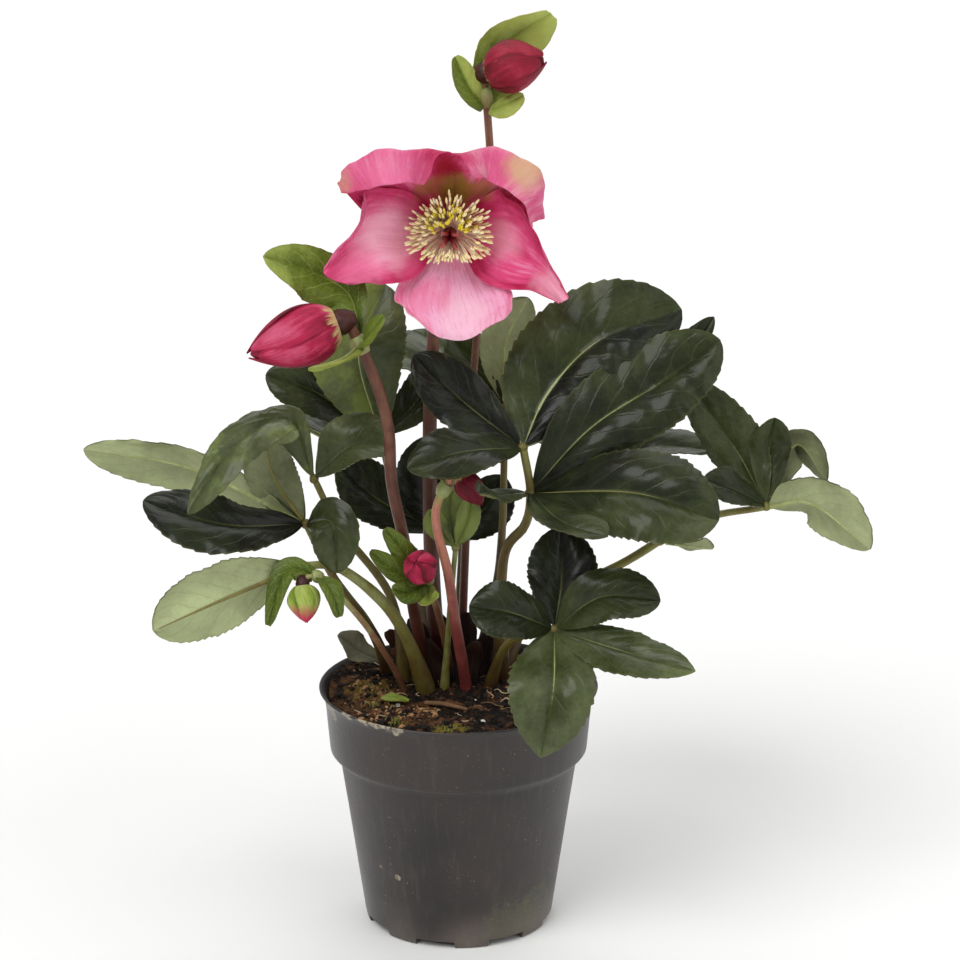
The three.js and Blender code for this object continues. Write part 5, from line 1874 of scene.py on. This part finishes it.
BUDS = (
    Bud(
        "bud_left", (-49, -29, 270), (-84, -38, 259), 12,
        Stem(
            "bud_left",
            standing(
                (-14, 12), (-19, -2, 140), (-22, -17, 172), (-27, -27, 203), (-28, -30, 226),
                (-33, -29, 246), (-43, -28, 269),
            ),
            (2.7, 2.7, 2.6, 2.5, 2.4, 2.2), 0.25, 0.5,
        ),
        (0.935, 0.975),
        (
            bract(
                (-39, -28, 261), (-44, -15, 279), (-60, -15, 289), (-78, -26, 297), up=(-0.3, -0.8, 0.5),
                left=13, right=10, shade=0.46, far=0.36, rise=0.5, teeth=12, outline=Outline.LEAFLET,
            ),
            bract(
                (-39, -28, 261), (-35, -36, 267), (-29, -38, 275), up=(-0.4, -0.6, 0.7), left=5, right=5,
                shade=0.4,
            ),
            bract(
                (-39, -28, 261), (-46, -42, 258), (-59, -48, 256), up=(0, -0.5, -0.8), left=4, right=5,
                shade=0.65,
            ),
        ),
        shade=0.5, opened=0.7,
    ),
    Bud(
        "bud_top", (13, 4, 367.5), (35.5, -4, 374), 10,
        Stem(
            "bud_top", standing((1, 30), (6, 22, 228), (13, 12, 314), (12.5, 8, 348), (10, 5.5, 365)),
            (2.0, 1.8, 1.6, 1.6), 0.15, 0.76, 70,
        ),
        (0.955, 0.985),
        (
            bract(
                (12, 7, 352), (17, 18, 374.5), (38, 10, 390.5), up=(0.3, -0.8, -0.4), left=12, right=15,
                shade=0.62, far=0.9, rise=0.75, teeth=8,
            ),
            bract(
                (12, 7, 352), (5, 2, 361), (-1, 0, 374), up=(0.4, -0.8, 0.3), left=6, right=6, shade=0.4,
                far=0.75,
            ),
            bract(
                (12, 7, 352), (19, 2, 354.5), (27, 0, 358.5), up=(0.2, -0.8, 0.6), left=3, right=6,
                shade=0.85, fold=0,
            ),
        ),
        shade=0.4, slot="bud_red", opened=1.6, skin=BUD_CRIMSON,
    ),
    Bud(
        "bud_middle", (-14.5, -25.5, 165), (-17, -39, 172), 6.8,
        Stem("bud_middle", standing((-3, 9), (-8, -7, 138), (-14, -22, 163.5)), (1.6, 1.5), 0.3, 0.9, 24),
        (0.9, 0.96),
        (
            bract(
                (-13, -17.5, 158), (-24, -27, 164), (-36, -33, 175), up=(0, -0.8, 0.5), left=5, right=5,
                shade=0.12,
            ),
            bract(
                (-13, -17.5, 158), (-21, -25, 171), (-30, -30, 184), up=(0, -0.9, 0.3), left=5, right=5,
                shade=0.1,
            ),
            bract(
                (-13, -17.5, 158), (-20, -29, 156), (-27, -37, 160), up=(0, -0.8, 0.5), left=5, right=5,
                shade=0.15,
            ),
            bract(
                (-13, -17.5, 157), (-12, -29, 153), (-8, -38, 157), up=(0, -0.7, 0.6), left=4.5, right=4.5,
                shade=0.7,
            ),
        ),
        shade=0.3,
    ),
    Bud(
        "bud_hidden", (2, -32, 207), (10, -36, 196), 5.5,
        Stem(
            "bud_hidden", standing((3, -1), (-1, -15, 137), (-4, -22, 162), (-9, -27, 190), (-1, -31, 209)),
            (2.6, 2.4, 2.0, 1.6), 0.1, 0.85, 44, RED_STEM,
        ),
        (0.9, 0.95),
        (
            bract(
                (-5, -29, 201), (-2, -23, 211), (9, -24, 212), up=(0, 0.2, 0.9), left=4, right=4, shade=0.3,
            ),
        ),
        shade=0.0, slot="bud_red",
    ),
    Bud(
        "bud_small", (-63, -47, 164.5), (-61.5, -53, 151), 6.5,
        Stem(
            "bud_small", standing((-24, -5), (-38, -31, 142), (-56, -44, 167), (-63, -46, 167)),
            (1.4, 1.3, 1.2), 0.5, 0.95, 36,
        ),
        (0.91, 0.96),
        (
            bract(
                (-57, -44, 168), (-51, -52, 165), (-48, -55, 154), up=(0.5, -0.7, 0.4), left=4.5, right=4.5,
                shade=0.2,
            ),
            bract(
                (-57, -44, 168), (-70, -45, 170), (-77, -51, 149), up=(-0.4, -0.8, 0.4), left=5, right=5,
                shade=0.2,
            ),
        ),
        shade=0.6, skin=BUD_GREEN,
    ),
)

BLOOM_STEM = Stem(
    "bloom",
    standing((-7, 20), (-11, 15, 141), (-12, 10, 217), (-9, 10, 272), (-4, 5, 299), (-3, -3.5, 304.6)),
    (3.6, 3.5, 3.3, 3.0, 2.6, 2.6), 0.05, 0.6, 80,
)


def build_bloom_stem() -> None:
    """Makes the open flower's stem with the peg that carries the flower."""
    peg = BLOOM_AXIS.lathe("bloom_peg", ((-3.0, 2.6), (0.0, 2.6), (6.6, 2.55)), 18)
    paint(tint(peg, 0.8), STEM)
    finish_piece(joined("bloom_stalk", [BLOOM_STEM.tube(), peg]), ["bloom_stem"])


# ---------------------------------------------------------------- pot and soil


@dataclass
class Pot:
    """The round nursery pot: a tapered body, a shoulder, a band and a flared lip. Millimetres."""

    sides: int = 120
    base: float = 41.0
    height: float = 105.5
    notches: int = 8
    outside: Profile = (
        (0.0, 0.0), (20.0, 0.0), (37.5, 0.0), (39.5, 0.0), (40.5, 0.7), (41.0, 3.0), (42.5, 13.3),
        (44.4, 26.6), (46.3, 40.0), (48.2, 53.2), (50.0, 65.0), (51.0, 71.8), (51.2, 73.0), (51.5, 74.2),
        (52.4, 75.6), (53.8, 76.5), (54.8, 77.0), (55.4, 77.8), (55.6, 79.0), (56.2, 86.0), (56.8, 93.0),
        (57.2, 98.0), (57.9, 101.2), (58.6, 103.5), (59.3, 104.2), (59.9, 104.7), (60.0, 105.1),
        (59.8, 105.4), (59.4, 105.5), (58.9, 105.3),
    )
    inside: Profile = (
        (57.4, 103.5), (56.4, 100.0), (56.0, 98.0), (55.2, 88.0), (54.4, 79.0), (53.6, 77.0), (51.0, 75.2),
        (50.0, 73.0), (45.1, 40.0), (39.9, 5.0), (38.4, 1.8), (0.0, 1.8),
    )

    def build(self) -> None:
        """Makes the pot, cuts the notches in its foot and finishes it."""
        outline = (*self.outside, *self.inside)
        last = len(outline) - 1

        def place(across: float, along: float) -> Vector:
            """Lays one corner of the pot, which is a little out of round as thin plastic is."""
            radius, height = outline[round(along * last)]
            angle = 2 * math.pi * across
            give = 1 + 0.0016 * math.sin(3 * angle + 0.6) * height / self.height
            return Vector((radius * give * math.cos(angle), radius * give * math.sin(angle), height))

        body = close_up(sheet("pot_body", self.sides, last, place))
        self.cut_notches(body)
        finish_piece(paint(tint(body, 0.5), PotFinish("pot_worn")), ["pot"], 35)

    def cut_notches(self, body: Piece) -> None:
        """Cuts the drainage notches in the pot's foot.

        Args:
            body: The pot.
        """
        cutters = []
        for number in range(self.notches):
            clear_selection()
            bpy.ops.mesh.primitive_cube_add(size=1.0)
            block = bpy.context.active_object
            turn = Matrix.Rotation(2 * math.pi * number / self.notches - math.pi / 2 - 0.25, 4, "Z")
            shift = Matrix.Translation(((self.base - 3) * MM, 0, 1.55 * MM))
            size = Matrix.Diagonal((8 * MM, 17 * MM, 3.2 * MM, 1))
            block.data.transform(turn @ shift @ size)
            cutters.append(block)
        cutter = joined("notch_cutter", cutters)
        select(body)
        cut = body.modifiers.new("notches", "BOOLEAN")
        cut.object = cutter
        cut.operation = "DIFFERENCE"
        cut.solver = "EXACT"
        bpy.ops.object.modifier_apply(modifier=cut.name)
        bpy.data.objects.remove(cutter)


@dataclass
class Soil:
    """The potting soil: a body that fills the pot, with a crumbly top, and the bits that lie on it."""

    level: float = 102.0
    sides: int = 110
    rings: int = 64
    crumbs: int = 900
    flakes: int = 380
    heaps: tuple[Point, ...] = (
        (-39, -1, 5), (-35, -8, 4), (-36, -16, 6), (-15, -27, 4), (-26, -25, 6), (-38, -32, 4), (0, 0, 28),
    )
    fibres: int = 80
    perlite: int = 12
    moss: int = 200
    moss_patches: tuple[Point, ...] = (
        (-38, -6, 6), (-36, -20, 6), (-3, -47, 6), (-26, -38, 4), (30, 34, 8), (-30, 30, 7),
    )
    reach: float = 53.0
    top_radius: float = 55.4
    seed: int = 5
    body: Profile = (
        (0.0, 2.1), (37.0, 2.1), (38.9, 5.6), (44.5, 40.0), (49.3, 73.4), (50.6, 76.0), (53.4, 77.8),
        (53.8, 79.4), (55.2, 98.0), (55.9, 101.2),
    )

    def height(self, x: float, y: float) -> float:
        """Returns the height of the soil's top at a place, without its finest crumbs."""
        mound = 6 * math.exp(-((x + 44) ** 2 + (y - 14) ** 2) / 20**2)
        crown = 3.5 * math.exp(-((x + 2) ** 2 + (y - 16) ** 2) / 26**2)
        wobble = math.sin(x * 0.9 + 1.3 * math.sin(y * 0.7)) * math.sin(y * 1.1 + 1.7 * math.sin(x * 0.5))
        return self.level + mound + crown + 0.8 * wobble

    def top(self, x: float, y: float) -> float:
        """Returns the height of the soil's top at a place, with its crumbs."""
        coarse = noise.noise(Vector((x * 0.22, y * 0.22, 3)))
        fine = noise.noise(Vector((x * 0.75, y * 0.75, 7)))
        return self.height(x, y) + 0.9 * coarse + 0.9 * fine - 0.5

    def build(self) -> None:
        """Makes the soil and everything loose on it."""
        total = len(self.body) + self.rings - 1

        def place(across: float, along: float) -> Vector:
            """Lays one corner of the soil."""
            index = round(along * total)
            angle = 2 * math.pi * across
            if index < len(self.body):
                radius, height = self.body[index]
                return Vector((radius * math.cos(angle), radius * math.sin(angle), height))
            radius = self.top_radius * (1 - (index - len(self.body)) / (self.rings - 1))
            x, y = radius * math.cos(angle), radius * math.sin(angle)
            return Vector((x, y, self.top(x, y)))

        ground = tint(close_up(sheet("soil_ground", self.sides, total, place)), 0.5)
        finish_piece(paint(ground, SoilFinish("soil_earth")), ["soil"], 60)
        self.scatter()

    @staticmethod
    def spot(draw: random.Random, reach: float) -> tuple[float, float]:
        """Returns a random place on the soil's top."""
        radius = reach * math.sqrt(draw.random())
        angle = draw.uniform(0, 2 * math.pi)
        return radius * math.cos(angle), radius * math.sin(angle)

    @staticmethod
    def drift(draw: random.Random, heaps: Sequence[Point], spread: float) -> tuple[float, float]:
        """Returns a random place around one of some heaps, each given as (x, y, size)."""
        x, y, size = draw.choice(heaps)
        return x + draw.gauss(0, size * spread), y + draw.gauss(0, size * spread)

    def lay(self, draw: random.Random, x: float, y: float, size: Sequence[float], sink: float) -> Matrix:
        """Returns the placing of a small thing that lies on the soil.

        Args:
            draw: The random numbers.
            x: Its place.
            y: Its place.
            size: How much it is enlarged along each of its axes.
            sink: How far it is pressed in, in millimetres.

        Returns:
            The placing.
        """
        turn = Matrix.Rotation(draw.uniform(0, 6.28), 4, "Z")
        turn = turn @ Matrix.Rotation(draw.uniform(-0.5, 0.5), 4, "X")
        spot = Vector((x, y, self.top(x, y) - sink)) * MM
        return Matrix.Translation(spot) @ turn @ Matrix.Diagonal((*size, 1))

    def lump(self, name: str, finish: Finish, shade: float, seed: float) -> Piece:
        """Makes a rough lump of unit size in millimetres.

        Args:
            name: Its name.
            finish: Its finish.
            shade: Its shade.
            seed: Moves its bumps.

        Returns:
            The lump.
        """
        clear_selection()
        bpy.ops.mesh.primitive_ico_sphere_add(subdivisions=1, radius=MM)
        piece = bpy.context.active_object
        piece.name = name
        for vertex in piece.data.vertices:
            vertex.co *= 1 + 0.45 * noise.noise(vertex.co * 1500 + Vector((seed, 0, 0)))
        return paint(tint(piece, shade), finish)

    def scatter(self) -> None:
        """Makes the crumbs, perlite, fibres and moss."""
        draw = random.Random(self.seed)
        shades = (0.0, 0.1, 0.3, 0.5, 0.2, 0.05)
        crumbs = [self.lump(f"crumb_{i}", CRUMB, shade, 5.0 * i) for i, shade in enumerate(shades)]
        places = []
        for _ in range(self.crumbs):
            size = draw.choice((0.5, 0.7, 0.8, 1.0, 1.1, 1.5, 2.0))
            x, y = self.spot(draw, self.reach)
            places.append(self.lay(draw, x, y, (size, size * draw.uniform(0.6, 1), size * 0.7), 0.1 * size))
        parts = [copies("crumbs", crumbs, places)]
        flakes = [self.lump(f"flake_{i}", CRUMB, shade, 9.0 * i) for i, shade in enumerate((0.6, 0.8, 1.0))]
        places = []
        for _ in range(self.flakes):
            size = draw.choice((0.6, 0.8, 1.1, 1.6))
            x, y = self.drift(draw, self.heaps, 1.0)
            if math.hypot(x, y) < self.reach:
                places.append(self.lay(draw, x, y, (size, size * draw.uniform(0.5, 1), size * 0.6), 0.0))
        parts.append(copies("flakes", flakes, places))
        bits = [self.lump("bit", PERLITE, 0.7, 40.0)]
        places = []
        for size in draw.choices((0.6, 0.9, 1.2), k=self.perlite):
            places.append(self.lay(draw, *self.spot(draw, self.reach), (size, size, 0.8 * size), 0.1))
        parts.append(copies("perlite", bits, places))
        parts.append(self.make_fibres(draw))
        parts.append(self.make_moss(draw))
        finish_piece(joined("soil_litter", parts), [], 30)

    def make_fibres(self, draw: random.Random) -> Piece:
        """Makes thin fibres that lie about on the soil.

        Args:
            draw: The random numbers.

        Returns:
            The fibres in one piece.
        """
        models = []
        for index, bend in enumerate((0.6, -0.8, 1.4)):
            points = ((-4, 0, 0), (-1, bend, 0.3), (2, -bend, 0.3), (4, 0, 0))
            thread = tube(f"fibre_{index}", points, (0.2, 0.28, 0.15), 5, 8)
            models.append(paint(tint(thread, 0.2 + 0.35 * index), FIBRE))
        sizes = (0.5, 0.7, 1.0, 1.3)
        places = []
        for _ in range(self.fibres):
            places.append(self.lay(draw, *self.spot(draw, 50), [draw.choice(sizes)] * 3, -0.3))
        return copies("fibres", models, places)

    def make_moss(self, draw: random.Random) -> Piece:
        """Makes patches of short moss shoots.

        Args:
            draw: The random numbers.

        Returns:
            The moss in one piece.
        """
        models = []
        for index, lean in enumerate((0.2, 0.6)):
            points = ((0, 0, -0.5), (0, 0, 0.8), (lean, 0, 2.0))
            shoot = tube(f"shoot_{index}", points, (0.28, 0.34, 0.08), 5, 4)
            models.append(paint(tint(shoot, 0.35 + 0.4 * index), MOSS))
        places = []
        for _ in range(self.moss):
            x, y = self.drift(draw, self.moss_patches, 0.5)
            if math.hypot(x, y) < self.reach:
                places.append(self.lay(draw, x, y, [draw.uniform(0.6, 1.2)] * 3, 0.1))
        return copies("moss", models, places)


@dataclass
class Litter:
    """The withered leaf, fallen bract and twig on the soil, and the dry sheaths round the stalks' feet."""

    withered: Blade = Blade(
        ((-33, 26, 105.9), (-43, 26, 111.1), (-53, 24, 119.1)), (0.3, -0.5, 0.8), 8, 7, 0.5, teeth=8,
        quilt=0.9, wave=1.6,
    )
    fallen: Blade = bract(
        (-34, -14, 103.7), (-28, -16, 104.9), (-21, -17, 103.7), up=(0, 0, 1), left=4, right=4, shade=0.62,
        wave=0.3,
    )
    twig: tuple[Point, ...] = ((-14, -20, 104.05), (-6, -22, 104.25), (4, -27, 103.65))
    sheaths: tuple[tuple[float, ...], ...] = (
        (-9, 3, 22, 4.5, 0.3), (-2, 4, 27, 4.5, 0.15), (5, 6, 20, 4.0, 0.4), (9, 11, 24, 4.5, 0.2),
        (-19, 6, 17, 4.0, 0.6), (-12, 20, 26, 5.0, 0.1), (2, 22, 28, 5.0, 0.1), (12, 29, 22, 4.5, 0.3),
        (-20, 20, 20, 4.5, 0.4), (-6, 32, 24, 5.0, 0.2),
    )

    def build_sheaths(self) -> None:
        """Makes the short dry sheaths that stand round the stalks' feet."""
        parts = []
        for x, y, height, half, shade in self.sheaths:
            lean = 0.012 * height
            middle = (x + lean * x, y + 2, Soil.level + 0.55 * height)
            tip = (x + 2.4 * lean * x, y + 1, Soil.level + height)
            habit = {"left": half, "right": half, "shade": shade, "rise": 0.5, "fold": -0.5}
            sheath = bract((x, y, Soil.level), middle, tip, up=(0.02 * x, -1, 0.2), **habit)
            parts += sheath.build("sheath", SHEATH, SHEATH, SHEATH)
        finish_piece(joined("crown_sheaths", parts), [])

    def build(self) -> None:
        """Makes the pieces."""
        self.build_sheaths()
        leaf = joined("withered_blade", self.withered.build("withered", WITHERED, WITHERED, TWIG))
        finish_piece(leaf, ["withered_leaf"])
        fallen = joined("fallen_blade", self.fallen.build("fallen", BRACT_FACE, BRACT_FACE, PETIOLE))
        finish_piece(fallen, ["fallen_bract"])

        def bark(across: float, along: float) -> float:
            """Returns the twig's uneven girth."""
            return 1 + 0.12 * noise.noise(Vector((9 * across, 14 * along, 0)))

        twig = tube("twig_bark", self.twig, (0.9, 1.1, 0.7), 9, 16, bark)
        finish_piece(paint(tint(twig, 0.6), TWIG), ["twig"])


# ---------------------------------------------------------------- studio


@dataclass(frozen=True)
class SoftLight:
    """A broad, soft and distant light."""

    name: str
    source: Point
    spread: float
    strength: float


@dataclass
class Studio:
    """The floor, the soft light and the camera. Metres and degrees."""

    camera_place: Point = (0.0093, -1.1, 0.504)
    pitch: float = 15.62
    focal_pixels: float = 2709.0
    image_side: float = 960.0
    sensor: float = 36.0
    floor_side: float = 60.0
    backdrop_level: float = 1.0
    ambient_level: float = 0.32
    lights: tuple[SoftLight, ...] = (
        SoftLight("key", (-0.55, -0.75, 1.0), 40, 1.7),
        SoftLight("fill", (0.9, -0.55, 0.65), 60, 0.8),
        SoftLight("top", (0.15, 0.75, 1.0), 60, 1.15),
    )

    def build(self) -> None:
        """Makes the floor, the lights, the surroundings and the camera."""
        clear_selection()
        bpy.ops.mesh.primitive_plane_add(size=self.floor_side)
        floor = bpy.context.active_object
        floor.name = "floor"
        paint(floor, FloorFinish("floor_pale"))
        for light in self.lights:
            self.build_light(light)
        self.build_world()
        self.build_camera()

    @staticmethod
    def build_light(light: SoftLight) -> None:
        """Makes one light.

        Args:
            light: Where it comes from, how broad and how strong it is.
        """
        bpy.ops.object.light_add(type="SUN", location=light.source)
        lamp = bpy.context.active_object
        lamp.name = light.name
        lamp.data.angle = math.radians(light.spread)
        lamp.data.energy = light.strength
        lamp.rotation_euler = (-Vector(light.source)).to_track_quat("-Z", "Y").to_euler()

    def build_world(self) -> None:
        """Makes the white surroundings, dimmer as a light than they look."""
        world = bpy.data.worlds.new("studio")
        world.use_nodes = True
        world.node_tree.nodes.clear()
        graph = Graph(world.node_tree)
        seen = graph.add("LightPath").outputs["Is Camera Ray"]
        level = graph.plus(seen, self.backdrop_level - self.ambient_level, self.ambient_level)
        glow = graph.add("Background", {"Color": (1.0, 1.0, 1.0, 1.0), "Strength": level})
        graph.feed(graph.add("OutputWorld").inputs["Surface"], glow.outputs[0])
        bpy.context.scene.world = world
        bpy.context.scene.view_settings.view_transform = "Standard"

    def build_camera(self) -> None:
        """Makes the camera."""
        tilt = math.radians(90 - self.pitch)
        bpy.ops.object.camera_add(location=self.camera_place, rotation=(tilt, 0, 0))
        camera = bpy.context.active_object
        camera.data.sensor_width = self.sensor
        camera.data.lens = self.focal_pixels * self.sensor / self.image_side
        camera.data.clip_start = 0.01
        bpy.context.scene.camera = camera


def main() -> None:
    """Builds the plant around the frame."""
    logging.basicConfig(level=logging.INFO, format="%(name)s %(message)s")
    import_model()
    Studio().build()
    Pot().build()
    Soil().build()
    Litter().build()
    for leaf in LEAVES:
        leaf.build()
    build_bloom_stem()
    Flower().build()
    for bud in BUDS:
        bud.build()


if __name__ == "__main__":
    main()
